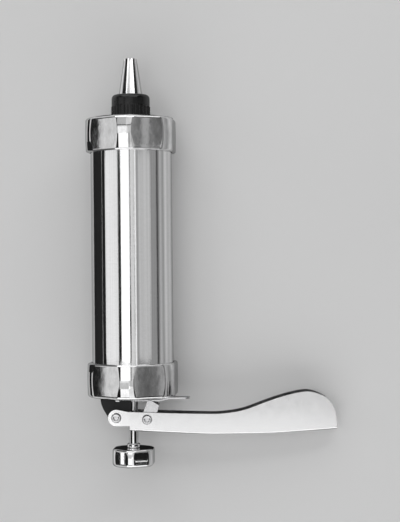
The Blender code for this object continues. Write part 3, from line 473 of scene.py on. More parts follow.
# %% The tree that cuts the flats
def geometry_tree(name, inputs):
    """A Geometry Nodes graph with named inputs; returns it with its wires by name."""
    tree = bpy.data.node_groups.new(name, "GeometryNodeTree")
    graph = Graph(tree)
    tree.interface.new_socket("Geometry", in_out="INPUT", socket_type="NodeSocketGeometry")
    tree.interface.new_socket("Geometry", in_out="OUTPUT", socket_type="NodeSocketGeometry")
    for label, kind in inputs.items():
        tree.interface.new_socket(label, in_out="INPUT", socket_type="NodeSocket" + kind)
    source = tree.nodes.new("NodeGroupInput")
    wires = {socket.name: Wire(graph, socket) for socket in source.outputs if socket.name}
    graph.identifiers = {item.name: item.identifier for item in tree.interface.items_tree
                         if item.in_out == "INPUT"}
    return graph, wires


def close_tree(graph, geometry, material):
    """Realizes what the tree made, gives it its material and sends it out."""
    real = graph.node("GeometryNodeRealizeInstances", None, {"Geometry": geometry})
    dressed = graph.node("GeometryNodeSetMaterial", None, {"Geometry": real, "Material": material})
    target = graph.tree.nodes.new("NodeGroupOutput")
    graph.join(dressed, target.inputs["Geometry"])


def grown(name, made, graph, values):
    """Runs a tree on an object and keeps the result as a plain mesh."""
    step = made.modifiers.new("grown", "NODES")
    step.node_group = graph.tree
    for label, value in values.items():
        step[graph.identifiers[label]] = value
    ready = made.evaluated_get(bpy.context.evaluated_depsgraph_get())
    mesh = bpy.data.meshes.new_from_object(ready)
    mesh.name = name
    result = linked(name, mesh)
    bpy.data.objects.remove(made)
    return result


flats, wire = geometry_tree("ground_flats", {
    "Flats": "Float", "Distance": "Float", "Phase": "Float", "Softness": "Float",
    "Land": "Float", "Crown": "Float", "Middle": "Float", "Half Height": "Float",
    "Rim": "Float", "Material": "Material"})
spot = flats.node("GeometryNodeInputPosition")
x, y, z = (Wire(flats, socket) for socket in
           flats.node("ShaderNodeSeparateXYZ", None, {"Vector": spot}).socket.node.outputs)
reach = flats.maths("SQRT", x * x + z * z)
sector = 2 * pi / wire["Flats"]
bearing = flats.maths("ARCTAN2", x, z) - wire["Phase"]
offset = flats.maths("WRAP", bearing, sector / 2, -1 * sector / 2)
limit = wire["Distance"] / flats.maths("COSINE", offset)
height_share = (y - wire["Middle"]) / wire["Half Height"]
land = wire["Land"] - wire["Crown"] * height_share * height_share
ground = flats.maths("SMOOTH_MIN", land, limit, wire["Softness"]) - (land - reach)
on_side = flats.maths("GREATER_THAN", reach, wire["Rim"])
wanted = reach + on_side * (flats.maths("MINIMUM", reach, ground) - reach)
inward = wanted / flats.maths("MAXIMUM", reach, 0.0001)
shifted = flats.node("ShaderNodeCombineXYZ", None, {"X": x * inward, "Y": y, "Z": z * inward})
cut = flats.node("GeometryNodeSetPosition", None, {
    "Geometry": wire["Geometry"], "Position": shifted})
close_tree(flats, cut, wire["Material"])
print("ground_flats inputs:", list(flats.identifiers))

# %% [markdown]
# ## The crowned side
#
# Both rings and the knob share one kind of side: a shallow crown whose ends turn in with a
# large radius. Dense rows are needed only where it turns, because the flats are planes.

# %% A crowned side
CORNER_STEPS = 14
SIDE_STEPS = 26


def crowned_side(radius, crown, height, near_corner, far_corner):
    """Points of a crowned side with rounded corners, from one face to the other."""
    def swell(place):
        share = (place - height / 2) / (height / 2)
        return radius - crown * share ** 2

    turns = [pi / 2 * step / CORNER_STEPS for step in range(CORNER_STEPS + 1)]
    points = [(swell(near_corner) - near_corner * (1 - sin(turn)),
               near_corner * (1 - cos(turn))) for turn in turns]
    run = height - near_corner - far_corner
    along = [near_corner + run * step / SIDE_STEPS for step in range(1, SIDE_STEPS)]
    points += [(swell(place), place) for place in along]
    points += [(swell(height - far_corner) - far_corner * (1 - cos(turn)),
                height - far_corner * (1 - sin(turn))) for turn in turns]
    return points


# %% [markdown]
# ## The two screw rings
#
# Each ring screws over one end of the tube. Its lip holds a plate against the tube's end,
# and the open side shows a thin wall. The blank is turned at high resolution with a plain
# section, and the tree above then grinds its six flats.

# %% Front and rear ring
RING_BORE = 25.35 * MM
RING_RADIUS = 28.6 * MM
RING_CROWN = 0.55 * MM
RING_LIP_CORNER = 2.2 * MM
RING_OPEN_CORNER = 1.3 * MM
RING_RIM = 26.3 * MM                # inside this the faces and the bore stay as turned
RING_LIP = 2.0 * MM
RING_OPENING = 21.0 * MM
RING_FLAT = 26.7 * MM               # from the axis to a flat
FLAT_COUNT = 6
FLAT_PHASE = radians(24.5)
FLAT_EDGE = 0.3 * MM                # softness left on a ground edge
RING_SIDES = 720


def screw_ring(name, node, carrier, inward):
    """A ring whose lip face is its first or last place along the tube."""
    first, last = span(node)
    face = first if inward > 0 else last
    height = last - first
    side = crowned_side(RING_RADIUS, RING_CROWN, height, RING_LIP_CORNER, RING_OPEN_CORNER)
    section = [(RING_OPENING, 0)] + [(out, place, 0) for out, place in side] + [
        (RING_BORE, height, HAIR), (RING_BORE, RING_LIP), (RING_OPENING, RING_LIP)]
    section = [(out, face + inward * place) for out, place in eased(section)]
    blank = as_object(name + "_blank", turned(section, RING_SIDES))
    made = grown(name, blank, flats, {
        "Flats": float(FLAT_COUNT), "Distance": RING_FLAT, "Phase": FLAT_PHASE,
        "Softness": FLAT_EDGE, "Land": RING_RADIUS, "Crown": RING_CROWN,
        "Middle": (first + last) / 2, "Half Height": height / 2, "Rim": RING_RIM,
        "Material": polished_ring.material})
    finish_grown(made)
    return hand_over(made, polished_ring, carrier, node)


def finish_grown(made):
    """Carries a grown mesh into the frame, smooth and pointing out."""
    body = bmesh.new()
    body.from_mesh(made.data)
    placed(body)
    body.to_mesh(made.data)
    body.free()
    made.data.shade_smooth()
    made.data.set_sharp_from_angle(angle=SHARP)


screw_ring("front_screw_ring", "front_ring", "front_ring_body", -1)
screw_ring("rear_screw_ring", "rear_ring", "rear_ring_body", 1)

# %% [markdown]
# ## The knob and the rod
#
# The knob is a small version of the ring, closed at the rear, with a blind socket for the
# rod. It and the rod are the brightest mirrors on the press.

# %% Knob and rod
KNOB_RADIUS = 13.4 * MM
KNOB_CROWN = 0.3 * MM
KNOB_CORNER = 2.4 * MM
KNOB_FRONT_EDGE = 1.6 * MM
KNOB_FLAT = 12.5 * MM
KNOB_RIM = 9.5 * MM
KNOB_SOCKET = 7.4 * MM
KNOB_DISH = 0.5 * MM                # hollow in the knob's rear face
KNOB_DISH_RADIUS = 7.6 * MM
KNOB_SIDES = 480
ROD_RADIUS = 2.75 * MM
ROD_HOLE = 3.05 * MM
ROD_EDGE = 0.4 * MM

knob_rear, knob_front = span("knob")
side = crowned_side(KNOB_RADIUS, KNOB_CROWN, knob_front - knob_rear, KNOB_CORNER, KNOB_FRONT_EDGE)
section = [(0, KNOB_DISH), (KNOB_DISH_RADIUS - KNOB_DISH, KNOB_DISH), (KNOB_DISH_RADIUS, 0)]
section += [(out, place, 0) for out, place in side]
section += [(ROD_HOLE, knob_front - knob_rear), (ROD_HOLE, knob_front - knob_rear - KNOB_SOCKET),
            (0, knob_front - knob_rear - KNOB_SOCKET)]
section = [(out, knob_rear + place) for out, place in eased(section)]
blank = as_object("knob_blank", turned(section, KNOB_SIDES))
pull_knob = grown("pull_knob", blank, flats, {
    "Flats": float(FLAT_COUNT), "Distance": KNOB_FLAT, "Phase": FLAT_PHASE,
    "Softness": FLAT_EDGE, "Land": KNOB_RADIUS, "Crown": KNOB_CROWN,
    "Middle": (knob_rear + knob_front) / 2, "Half Height": (knob_front - knob_rear) / 2,
    "Rim": KNOB_RIM, "Material": knob_chrome.material})
finish_grown(pull_knob)
hand_over(pull_knob, knob_chrome, "rod_body", "knob")

rod_rear, rod_front = span("rod")
turned_piece("drive_rod", [
    (0, rod_rear), (ROD_RADIUS, rod_rear), (ROD_RADIUS, rod_front), (0, rod_front)],
    rod_steel, "rod_body", "rod", sides=SMALL_SIDES, radius=ROD_EDGE)
hub_rear, hub_front = span("knob_lock_nut")
HUB_RADIUS = 4.0 * MM
HUB_STEP = 0.5 * MM
turned_piece("knob_hub", [
    (ROD_HOLE, hub_rear), (HUB_RADIUS, hub_rear), (HUB_RADIUS, hub_front - HUB_STEP),
    (HUB_RADIUS - HUB_STEP, hub_front), (ROD_HOLE, hub_front)],
    knob_chrome, "rod_body", "knob_lock_nut", sides=SMALL_SIDES)

# %% [markdown]
# ## The icing tip
#
# The tip is a cone rolled from thin steel, with a rolled bead at its base and six teeth cut
# at its mouth. It starts as a turned shell. Three wedges, each cutting two opposite
# notches, open the mouth into a star, and the modifier's result becomes the mesh.

# %% The tip
TIP_BASE = 8.0 * MM
TIP_MOUTH = 3.9 * MM
TIP_WALL = 0.5 * MM
TIP_BEAD_RADIUS = 9.0 * MM
TIP_BEAD = 1.0 * MM
TIP_BEAD_ROUND = 0.45 * MM
TIP_MOUTH_EDGE = 0.12 * MM
NOTCH_DEPTH = 1.9 * MM
NOTCH_WIDTH = 1.7 * MM
NOTCHES = 6
OVERRUN = 2.0 * MM


def lofted(sections):
    """A closed body through sections with as many points each."""
    body = bmesh.new()
    loops = [[body.verts.new(place) for place in section] for section in sections]
    body.faces.new(loops[0])
    body.faces.new(loops[-1])
    for near, far in zip(loops, loops[1:]):
        for index in range(len(near)):
            after = (index + 1) % len(near)
            body.faces.new((near[index], near[after], far[after], far[index]))
    return body


def prism(outline, low, high, along="z"):
    """An outline of (x, y) points carried across the press, or of (x, z) along it."""
    if along == "z":
        return lofted([[(a, b, level) for a, b in outline] for level in (low, high)])
    return lofted([[(a, level, b) for a, b in outline] for level in (low, high)])


def machined(name, body, tools, finish, edge=0.0, edge_steps=2):
    """Cuts or joins tools on a body in press axes, then rounds what edges are left."""
    blank = as_object(name + "_blank", placed(body))
    helpers = []
    for operation, tool_body in tools:
        tool = as_object(name + "_tool", placed(tool_body))
        step = blank.modifiers.new("cut", "BOOLEAN")
        step.operation = operation
        step.solver = "MANIFOLD"
        step.object = tool
        helpers.append(tool)
    ready = blank.evaluated_get(bpy.context.evaluated_depsgraph_get())
    mesh = bpy.data.meshes.new_from_object(ready)
    for spare in helpers + [blank]:
        bpy.data.objects.remove(spare)
    mesh.name = name
    mesh.materials.clear()
    mesh.materials.append(finish.material)
    mesh.shade_smooth()
    mesh.set_sharp_from_angle(angle=SHARP)
    made = linked(name, mesh)
    if edge:
        step = made.modifiers.new("edges", "BEVEL")
        step.width = edge
        step.segments = edge_steps
        step.limit_method = "ANGLE"
        step.angle_limit = SHARP
        step.use_clamp_overlap = True
        step = made.modifiers.new("flat_faces", "WEIGHTED_NORMAL")
        step.mode = "FACE_AREA"
        step.weight = 100
        step.keep_sharp = True
    return made


tip_rear, tip_front = span("icing_tip")


def tip_radius(place):
    share = (place - tip_rear) / (tip_front - tip_rear)
    return TIP_BASE + (TIP_MOUTH - TIP_BASE) * share


bead_top = tip_rear + TIP_BEAD
shell = turned(eased([
    (TIP_BASE - TIP_WALL, tip_rear, HAIR), (TIP_BEAD_RADIUS, tip_rear, TIP_BEAD_ROUND),
    (TIP_BEAD_RADIUS, bead_top, TIP_BEAD_ROUND), (tip_radius(bead_top), bead_top, 0.3 * MM),
    (tip_radius(tip_front), tip_front, TIP_MOUTH_EDGE),
    (tip_radius(tip_front) - TIP_WALL, tip_front, TIP_MOUTH_EDGE)]), SMALL_SIDES * 2)
wedges = []
for index in range(NOTCHES // 2):
    mouth = NOTCH_WIDTH * (1 + OVERRUN / NOTCH_DEPTH) / 2
    wedge = prism([(-mouth, tip_front + OVERRUN), (0, tip_front - NOTCH_DEPTH),
                   (mouth, tip_front + OVERRUN)], -TIP_MOUTH - OVERRUN, TIP_MOUTH + OVERRUN)
    bmesh.ops.rotate(wedge, verts=wedge.verts[:],
                     matrix=Matrix.Rotation(2 * pi * index / NOTCHES, 3, "Y"))
    wedges.append(("DIFFERENCE", wedge))
star_tip = machined("star_tip", shell, wedges, tip_steel)
hand_over(star_tip, tip_steel, "tip_body", "icing_tip")

# %% [markdown]
# ## The black nut
#
# The nut has a smooth rounded crown over a skirt with thirty raised ribs for the fingers.
# The body is turned. A second tree sets the ribs: it draws one rib, stands a copy on every
# point of a circle, and realizes them, so their number and size are just inputs.

# %% The nut's body
NUT_RADIUS = 12.0 * MM
NUT_SKIRT = 9.0 * MM
NUT_RIB = 0.45 * MM
NUT_STEP = 0.25 * MM
NUT_TOP_RADIUS = 9.6 * MM
NUT_SHOULDER = 2.6 * MM
NUT_CROWN_WALL = 2.1 * MM
SPOUT_RADIUS = 9.2 * MM
NUT_CLEARANCE = 0.3 * MM
nut_rear, nut_front = span("nozzle_nut")
skirt_end = nut_rear + NUT_SKIRT
crown_radius = NUT_RADIUS - NUT_STEP
shoulder = [(NUT_TOP_RADIUS + (crown_radius - NUT_TOP_RADIUS) * cos(pi / 2 * step / 10),
             nut_front - NUT_SHOULDER * (1 - sin(pi / 2 * step / 10)), 0) for step in range(11)]
ledge = nut_front - NUT_CROWN_WALL
turned_piece("nut_body_cap", [
    (SPOUT_RADIUS + NUT_CLEARANCE, nut_rear), (NUT_RADIUS - NUT_RIB, nut_rear),
    (NUT_RADIUS - NUT_RIB, skirt_end - NUT_RIB, 0.15 * MM), (crown_radius, skirt_end)]
    + shoulder + [
    (tip_radius(nut_front) + NUT_CLEARANCE, nut_front),
    (tip_radius(ledge) + NUT_CLEARANCE, ledge), (SPOUT_RADIUS + NUT_CLEARANCE, ledge)],
    black_plastic, "nut_body", "nozzle_nut")

# %% The ribs on its skirt
ribs, wire = geometry_tree("skirt_ribs", {
    "Count": "Int", "Radius": "Float", "Rib Radius": "Float", "Length": "Float",
    "Material": "Material"})
spine = ribs.node("GeometryNodeCurvePrimitiveLine", None, {
    "Start": (0, 0, 0), "End": ribs.node("ShaderNodeCombineXYZ", None, {"Z": wire["Length"]})})
outline = ribs.node("GeometryNodeCurvePrimitiveCircle", None, {
    "Resolution": 12, "Radius": wire["Rib Radius"]})
rib = ribs.node("GeometryNodeCurveToMesh", None, {
    "Curve": spine, "Profile Curve": outline, "Fill Caps": True})
ring = ribs.node("GeometryNodeMeshCircle", None, {
    "Vertices": wire["Count"], "Radius": wire["Radius"]})
standing = ribs.node("GeometryNodeInstanceOnPoints", None, {"Points": ring, "Instance": rib})
close_tree(ribs, standing, wire["Material"])

RIB_COUNT = 30
RIB_INSET = 0.25 * MM               # the ribs stop this far inside the skirt's ends
seed = as_object("rib_seed", bmesh.new())
skirt_ribs = grown("nut_ribs", seed, ribs, {
    "Count": RIB_COUNT, "Radius": NUT_RADIUS - NUT_RIB, "Rib Radius": NUT_RIB,
    "Length": NUT_SKIRT - NUT_RIB - 2 * RIB_INSET, "Material": black_plastic.material})
skirt_ribs.data.transform(Matrix.Translation((0, nut_rear + RIB_INSET, 0))
                          @ Matrix.Rotation(-pi / 2, 4, "X"))
finish_grown(skirt_ribs)
hand_over(skirt_ribs, black_plastic, "nut_body")

# %% [markdown]
# ## The nozzle plate and its thread
#
# Under the nut sits a black plate with a threaded spout. Only its rim shows while the nut
# is down, but the thread shows once the nut is unscrewed. A thread is a path with a
# section, so a tree makes it: a spiral curve that carries a small round profile. The same
# tree rolls a thread on each end of the tube, under the rings.

# %% Plate and thread
PLATE_RADIUS = 24.4 * MM
SEAT_RADIUS = 20.2 * MM
SEAT_RISE = 1.2 * MM
PLATE = 2.0 * MM
SPOUT_BORE = 6.6 * MM
plate_rear, spout_end = span("nozzle_adapter")
plate_face = plate_rear + PLATE
turned_piece("nozzle_plate_cap", [
    (SPOUT_BORE, plate_rear), (PLATE_RADIUS, plate_rear), (PLATE_RADIUS, plate_face),
    (SEAT_RADIUS, plate_face), (SEAT_RADIUS, plate_face + SEAT_RISE),
    (SPOUT_RADIUS, plate_face + SEAT_RISE), (SPOUT_RADIUS, spout_end), (SPOUT_BORE, spout_end)],
    black_plastic, "nozzle_plate", "nozzle_adapter")

coils, wire = geometry_tree("coiled_rod", {
    "Turns": "Float", "Radius": "Float", "Length": "Float", "Rod Radius": "Float",
    "Steps": "Int", "Material": "Material"})
path = coils.node("GeometryNodeCurveSpiral", None, {
    "Resolution": wire["Steps"], "Rotations": wire["Turns"], "Start Radius": wire["Radius"],
    "End Radius": wire["Radius"], "Height": wire["Length"]})
outline = coils.node("GeometryNodeCurvePrimitiveCircle", None, {
    "Resolution": 10, "Radius": wire["Rod Radius"]})
rod = coils.node("GeometryNodeCurveToMesh", None, {
    "Curve": path, "Profile Curve": outline, "Fill Caps": True})
close_tree(coils, rod, wire["Material"])

THREAD_RISE = 0.22 * MM
THREAD_PITCH = 2.0 * MM
THREAD_RUNOUT = 1.0 * MM            # plain neck at both ends of the spout's thread
THREAD_ROOT = 0.1 * MM              # how deep the thread's rod sits in its cylinder
COIL_STEPS, WIDE_COIL_STEPS = 40, 96
WIDE_COIL = 10 * MM
thread_start = plate_face + SEAT_RISE + THREAD_RUNOUT
thread_length = spout_end - thread_start - THREAD_RUNOUT


def coil_piece(name, turns, radius, start, length, rod_radius, finish, carrier, *stands_for):
    """A coil about the tube's axis, grown by the tree above."""
    seed = as_object(name + "_seed", bmesh.new())
    made = grown(name, seed, coils, {
        "Turns": turns, "Radius": radius, "Length": length, "Rod Radius": rod_radius,
        "Steps": COIL_STEPS if radius < WIDE_COIL else WIDE_COIL_STEPS,
        "Material": finish.material})
    made.data.transform(Matrix.Translation((0, start, 0)) @ Matrix.Rotation(-pi / 2, 4, "X"))
    finish_grown(made)
    return hand_over(made, finish, carrier, *stands_for)


coil_piece("spout_thread", thread_length / THREAD_PITCH, SPOUT_RADIUS - THREAD_ROOT,
           thread_start, thread_length, THREAD_RISE + THREAD_ROOT, black_plastic,
           "nozzle_plate")

# %% Rolled threads at the tube's ends
TUBE_THREAD = 12.0 * MM             # how far the rings screw on
TUBE_THREAD_END = 1.2 * MM
TUBE_THREAD_RISE = 0.18 * MM
for name, start in (("rear_tube_thread", tube_rear + TUBE_THREAD_END),
                    ("front_tube_thread", tube_front - TUBE_THREAD_END - TUBE_THREAD)):
    coil_piece(name, TUBE_THREAD / THREAD_PITCH, TUBE_RADIUS - THREAD_ROOT, start, TUBE_THREAD,
               TUBE_THREAD_RISE + THREAD_ROOT, polished_tube, "barrel_body")

# %% [markdown]
# ## The lever
#
# The lever is one sheet bent into a channel. Its back is the web, and its two side plates
# end in a round head that takes the fulcrum. The front edge swells into a hump under the
# hand. The edges are smooth curves through a few chosen points, written as shares of the
# lever's reach and depth. The blank is lofted with the bend's radius in its back, a pocket
# makes the channel, and a fine bevel rounds every sheared edge, which is where the bright
# rim lines come from.

# %% The lever's edges
FULCRUM = (-10.1 * MM, -12.7 * MM)
LEVER_REACH = 134.9 * MM
LEVER_HALF = 8.2 * MM
LEVER_SHEET = 1.0 * MM
LEVER_HEAD = 5.0 * MM
LEVER_HUMP = 14.9 * MM
LEVER_BELLY = 10.7 * MM
LEVER_BEND = 1.6 * MM
WEB_START = 8.2 * MM
WEB_SLOT_END = 24.0 * MM
WEB_SLOT = 7.4 * MM
FRONT_SHARES = (
    (0.053, 0.240), (0.200, 0.190), (0.377, 0.140), (0.479, 0.140), (0.577, 0.275),
    (0.676, 0.590), (0.751, 0.812), (0.825, 0.973), (0.884, 1.000), (0.949, 0.772),
    (0.984, 0.389), (0.996, -0.013), (1.000, -0.530),
)
BACK_SHARES = (
    (1.000, 0.738), (0.825, 0.879), (0.678, 0.972), (0.445, 1.000), (0.337, 0.972),
    (0.148, 0.850), (0.000, 0.748),
)
EDGE_STEPS = 9
BEND_STEPS = 8
HOLE_SIDES = 48
LEVER_EDGE = 0.18 * MM              # what tumbling leaves on a sheared edge


def arc(centre, radius, start, end, steps):
    return [(centre[0] + radius * cos(start + (end - start) * step / steps),
             centre[1] + radius * sin(start + (end - start) * step / steps))
            for step in range(steps + 1)]


def smooth_through(points, steps):
    """A Catmull-Rom curve through the points."""
    curve = []
    for index in range(len(points) - 1):
        before = Vector(points[max(index - 1, 0)])
        start = Vector(points[index])
        end = Vector(points[index + 1])
        after = Vector(points[min(index + 2, len(points) - 1)])
        for step in range(steps):
            t = step / steps
            spot = (2 * start + (end - before) * t
                    + (2 * before - 5 * start + 4 * end - after) * t ** 2
                    + (3 * start - before - 3 * end + after) * t ** 3) / 2
            curve.append((spot.x, spot.y))
    curve.append(tuple(points[-1]))
    return curve


def from_fulcrum(points):
    return [(x + FULCRUM[0], y + FULCRUM[1]) for x, y in points]


head = from_fulcrum(arc((0, 0), LEVER_HEAD, radians(80), radians(270), 40))
front = from_fulcrum(smooth_through([
    (along * LEVER_REACH, rise * LEVER_HUMP) for along, rise in FRONT_SHARES], EDGE_STEPS))
back = from_fulcrum(smooth_through([
    (WEB_START + along * (LEVER_REACH - WEB_START), -depth * LEVER_BELLY)
    for along, depth in BACK_SHARES], EDGE_STEPS))
step_up = FULCRUM[0] + WEB_START, FULCRUM[1] - LEVER_HEAD
print(f"lever outline: {len(head) + len(front) + len(back)} points")

# %% Bending the channel
def lever_section(level, rise):
    """The outline at one level across the lever, its back raised by the bend."""
    raised = [(x, y + rise) for x, y in back]
    return [(x, y, level) for x, y in front[:-1] + raised + [step_up] + head[::-1]]


def drilled(body, eyes):
    """Opens round eyes from one end face of a lofted body to the other."""
    steps = HOLE_SIDES
    caps = [face for face in body.faces if len(face.verts) > 4]
    levels = [face.verts[0].co.z for face in caps]
    rims = [list(face.edges) for face in caps]
    bmesh.ops.delete(body, geom=caps, context="FACES_ONLY")
    for centre, radius in eyes:
        outline = arc(centre, radius, 0, 2 * pi, steps)[:-1]
        loops = [[body.verts.new((x, y, level)) for x, y in outline] for level in levels]
        for index in range(steps):
            for rim, loop in zip(rims, loops):
                rim.append(body.edges.new((loop[index - 1], loop[index])))
            body.faces.new((loops[0][index - 1], loops[0][index],
                            loops[1][index], loops[1][index - 1]))
    for rim in rims:
        bmesh.ops.triangle_fill(body, use_beauty=True, edges=rim)
    return body


FULCRUM_EYE = 2.05 * MM
STIRRUP_EYE = 1.65 * MM
STIRRUP = (FULCRUM[0] + 18.8 * MM, FULCRUM[1] - 1.1 * MM)
turns = [pi / 2 * step / BEND_STEPS for step in range(BEND_STEPS + 1)]
bend = [(LEVER_HALF - LEVER_BEND * (1 - sin(turn)), LEVER_BEND * (1 - cos(turn)))
        for turn in turns]
blank = drilled(lofted([lever_section(-level, rise) for level, rise in reversed(bend)]
                       + [lever_section(level, rise) for level, rise in bend]),
                [(FULCRUM, FULCRUM_EYE), (STIRRUP, STIRRUP_EYE)])
inner = LEVER_HALF - LEVER_SHEET
roof = FULCRUM[1] + LEVER_HUMP + OVERRUN
left = FULCRUM[0] - LEVER_HEAD - OVERRUN
right = FULCRUM[0] + LEVER_REACH + OVERRUN
floor = [(x, y + LEVER_SHEET) for x, y in back]
pocket = [(left, roof), (right, roof), (right, floor[0][1])] + floor[1:-1] + [
    (step_up[0] - OVERRUN, floor[-1][1]), (left, floor[-1][1])]
slot = arc((FULCRUM[0] + WEB_SLOT_END - WEB_SLOT / 2, 0), WEB_SLOT / 2, -pi / 2, pi / 2, 24)
slot += [(step_up[0] - OVERRUN, WEB_SLOT / 2), (step_up[0] - OVERRUN, -WEB_SLOT / 2)]
below = FULCRUM[1] - LEVER_BELLY - OVERRUN


def cross_hole(place, radius, depth):
    """A tool for a round hole square to the lever's plane."""
    return "DIFFERENCE", turned([(0, -depth), (radius, -depth), (radius, depth), (0, depth)],
                                HOLE_SIDES, (*place, 0), "z")


lever_made = machined("bent_lever", blank, [
    ("DIFFERENCE", prism(slot, below, FULCRUM[1] - LEVER_HEAD, "y")),
    ("DIFFERENCE", prism(pocket, -inner, inner))],
    lever_chrome, edge=LEVER_EDGE, edge_steps=3)
hand_over(lever_made, lever_chrome, "lever_body", "lever")

# %% [markdown]
# ## Rivets, pins and washers
#
# Two rivets cross the lever, the fulcrum and the stirrup's pin, and each head is staked:
# it has a round dimple with four punched dots in its floor. Washers sit between the ears
# and the lever. Four small rivets hold the bracket's base, and a tree stands one on each
# point of their circle.

# %% Lever pins and washers
PIN_HEAD_RADIUS = 3.1 * MM
PIN_HEAD = 1.1 * MM
PIN_DIMPLE_RADIUS = 1.5 * MM
PIN_DIMPLE = 0.7 * MM
PUNCH_DOTS = 4                      # marks of the staking tool in the dimple's floor
PUNCH_RING = 0.62 * MM
PUNCH_RADIUS = 0.27 * MM
PUNCH_DEPTH = 0.3 * MM
PUNCH_SIDES = 12
PIN_SEAT = LEVER_HALF + 0.3 * MM
EAR_HALF = 6.1 * MM
WASHER_RADIUS = 3.4 * MM
WASHER_SHEET = 0.5 * MM
WASHER_HOLE = 2.2 * MM
FULCRUM_PIN, STIRRUP_PIN = 1.9 * MM, 1.5 * MM


def staked_pin(name, radius, place, carrier, node):
    """A rivet through the lever with a dimpled head on each side."""
    top = PIN_SEAT + PIN_HEAD
    half = [(0, top - PIN_DIMPLE), (PIN_DIMPLE_RADIUS * 0.8, top - PIN_DIMPLE, 0.1 * MM),
            (PIN_DIMPLE_RADIUS, top - 0.15 * MM, 0.2 * MM),
            (PIN_DIMPLE_RADIUS + 0.4 * MM, top, 0.3 * MM),
            (PIN_HEAD_RADIUS - 0.75 * MM, top, 0.3 * MM),
            (PIN_HEAD_RADIUS - 0.15 * MM, PIN_SEAT + 0.5 * MM, 0.3 * MM),
            (PIN_HEAD_RADIUS, PIN_SEAT, 0.05 * MM), (radius, PIN_SEAT, 0.1 * MM)]
    section = half + [(out, -along, *rest) for out, along, *rest in reversed(half)]
    body = turned(eased(section), SMALL_SIDES, (*place, 0), "z")
    bottom = top - PIN_DIMPLE - PUNCH_DEPTH
    dots = []
    for x, y in arc(place, PUNCH_RING, 0.4, 0.4 + 2 * pi, PUNCH_DOTS)[:-1]:
        for low, high in ((bottom, top), (-top, -bottom)):
            dots.append(("DIFFERENCE", turned(
                [(0, low), (PUNCH_RADIUS, low), (PUNCH_RADIUS, high), (0, high)],
                PUNCH_SIDES, (x, y, 0), "z")))
    made = machined(name, body, dots, bright_steel)
    return hand_over(made, bright_steel, carrier, node)


staked_pin("fulcrum_rivet", FULCRUM_PIN, FULCRUM, "lever_body", "fulcrum_pin")
staked_pin("stirrup_rivet", STIRRUP_PIN, STIRRUP, "lever_body", "stirrup_pin")
washer_middle = (EAR_HALF + inner) / 2
for number, side_of in enumerate((-1, 1), 1):
    low = side_of * washer_middle - WASHER_SHEET / 2
    body = placed(turned(eased([
        (WASHER_HOLE, low), (WASHER_RADIUS, low), (WASHER_RADIUS, low + WASHER_SHEET),
        (WASHER_HOLE, low + WASHER_SHEET)], HAIR), SMALL_SIDES, (*FULCRUM, 0), "z"))
    hand_over(as_object(f"pivot_washer_{number}", body, black_plastic), black_plastic,
              "lever_body", f"fulcrum_washer_{number}")

# %% [markdown]
# ## The bracket and what it holds
#
# The bracket is folded from thicker sheet: a round base inside the rear ring's opening, and
# two ears that carry the fulcrum. It is painted dark, so its form shows only by its edges.

# %% The bracket
BRACKET_SHEET = 1.2 * MM
BRACKET_BASE = 1.5 * MM
BRACKET_RADIUS = 18.8 * MM
BRACKET_HOLE = 4.9 * MM
BRACKET_SIDES = 128
BRACKET_EDGE = 0.15 * MM
EAR_LEFT = 19.6 * MM
EAR_RIGHT = 1.2 * MM
EAR_END = 4.4 * MM
EAR_FOOT_RISE = 1.0 * MM
EAR_FOOT_INSET = 2.0 * MM
LOCK_HEEL = (-9.3 * MM, -2.6 * MM)
LOCK_LUG = 2.0 * MM
LOCK_LUG_SHEET = 0.8 * MM
LOCK_PLAY = 0.4 * MM
base_front = 2.0 * MM
base_rear = base_front - BRACKET_BASE
foot = (base_rear + base_front) / 2
foot_left = -(BRACKET_RADIUS - EAR_FOOT_INSET)
ear_end = arc(FULCRUM, EAR_END, radians(195), radians(345), 32)
flank = smooth_through([
    (foot_left, -EAR_FOOT_RISE / 2), (-EAR_LEFT, -EAR_FOOT_RISE),
    (-EAR_LEFT + EAR_FOOT_RISE, FULCRUM[1] / 2), ear_end[0]], 10)
ear = [(foot_left, foot)] + flank + ear_end[1:] + [
    (-EAR_RIGHT, FULCRUM[1] + EAR_END), (-EAR_RIGHT, base_rear), (-EAR_RIGHT, foot)]
base = turned([(BRACKET_HOLE, base_rear), (BRACKET_RADIUS, base_rear),
               (BRACKET_RADIUS, base_front), (BRACKET_HOLE, base_front)], BRACKET_SIDES)
heel_hole = [(LOCK_HEEL[0] + a * (LOCK_LUG / 2 + LOCK_PLAY),
              LOCK_HEEL[1] + b * (LOCK_LUG_SHEET / 2 + LOCK_PLAY))
             for a, b in ((-1, -1), (1, -1), (1, 1), (-1, 1))]
bracket = machined("ear_bracket", base, [
    ("UNION", prism(ear, -EAR_HALF, -EAR_HALF + BRACKET_SHEET)),
    ("UNION", prism(ear, EAR_HALF - BRACKET_SHEET, EAR_HALF)),
    cross_hole(FULCRUM, FULCRUM_EYE, EAR_HALF + OVERRUN),
    ("DIFFERENCE", prism(heel_hole, -EAR_HALF - OVERRUN, EAR_HALF + OVERRUN))],
    dark_paint, edge=BRACKET_EDGE)
hand_over(bracket, dark_paint, "rear_head", "fulcrum_bracket")

# %% Rivets on the bracket's base
RIVET_RING = 14.6 * MM
RIVET_ANGLE = radians(31)
rivet_rear, rivet_front = span("bracket_rivet_1")
rivets, wire = geometry_tree("base_rivets", {"Material": "Material"})
spots = rivets.node("GeometryNodeMeshToPoints", None, {"Mesh": wire["Geometry"]})
bodies = rivets.node("GeometryNodeObjectInfo", {"transform_space": "ORIGINAL"}, output="Geometry")
rivet_tree_node = bodies.socket.node
standing = rivets.node("GeometryNodeInstanceOnPoints", None, {"Points": spots, "Instance": bodies})
close_tree(rivets, standing, wire["Material"])

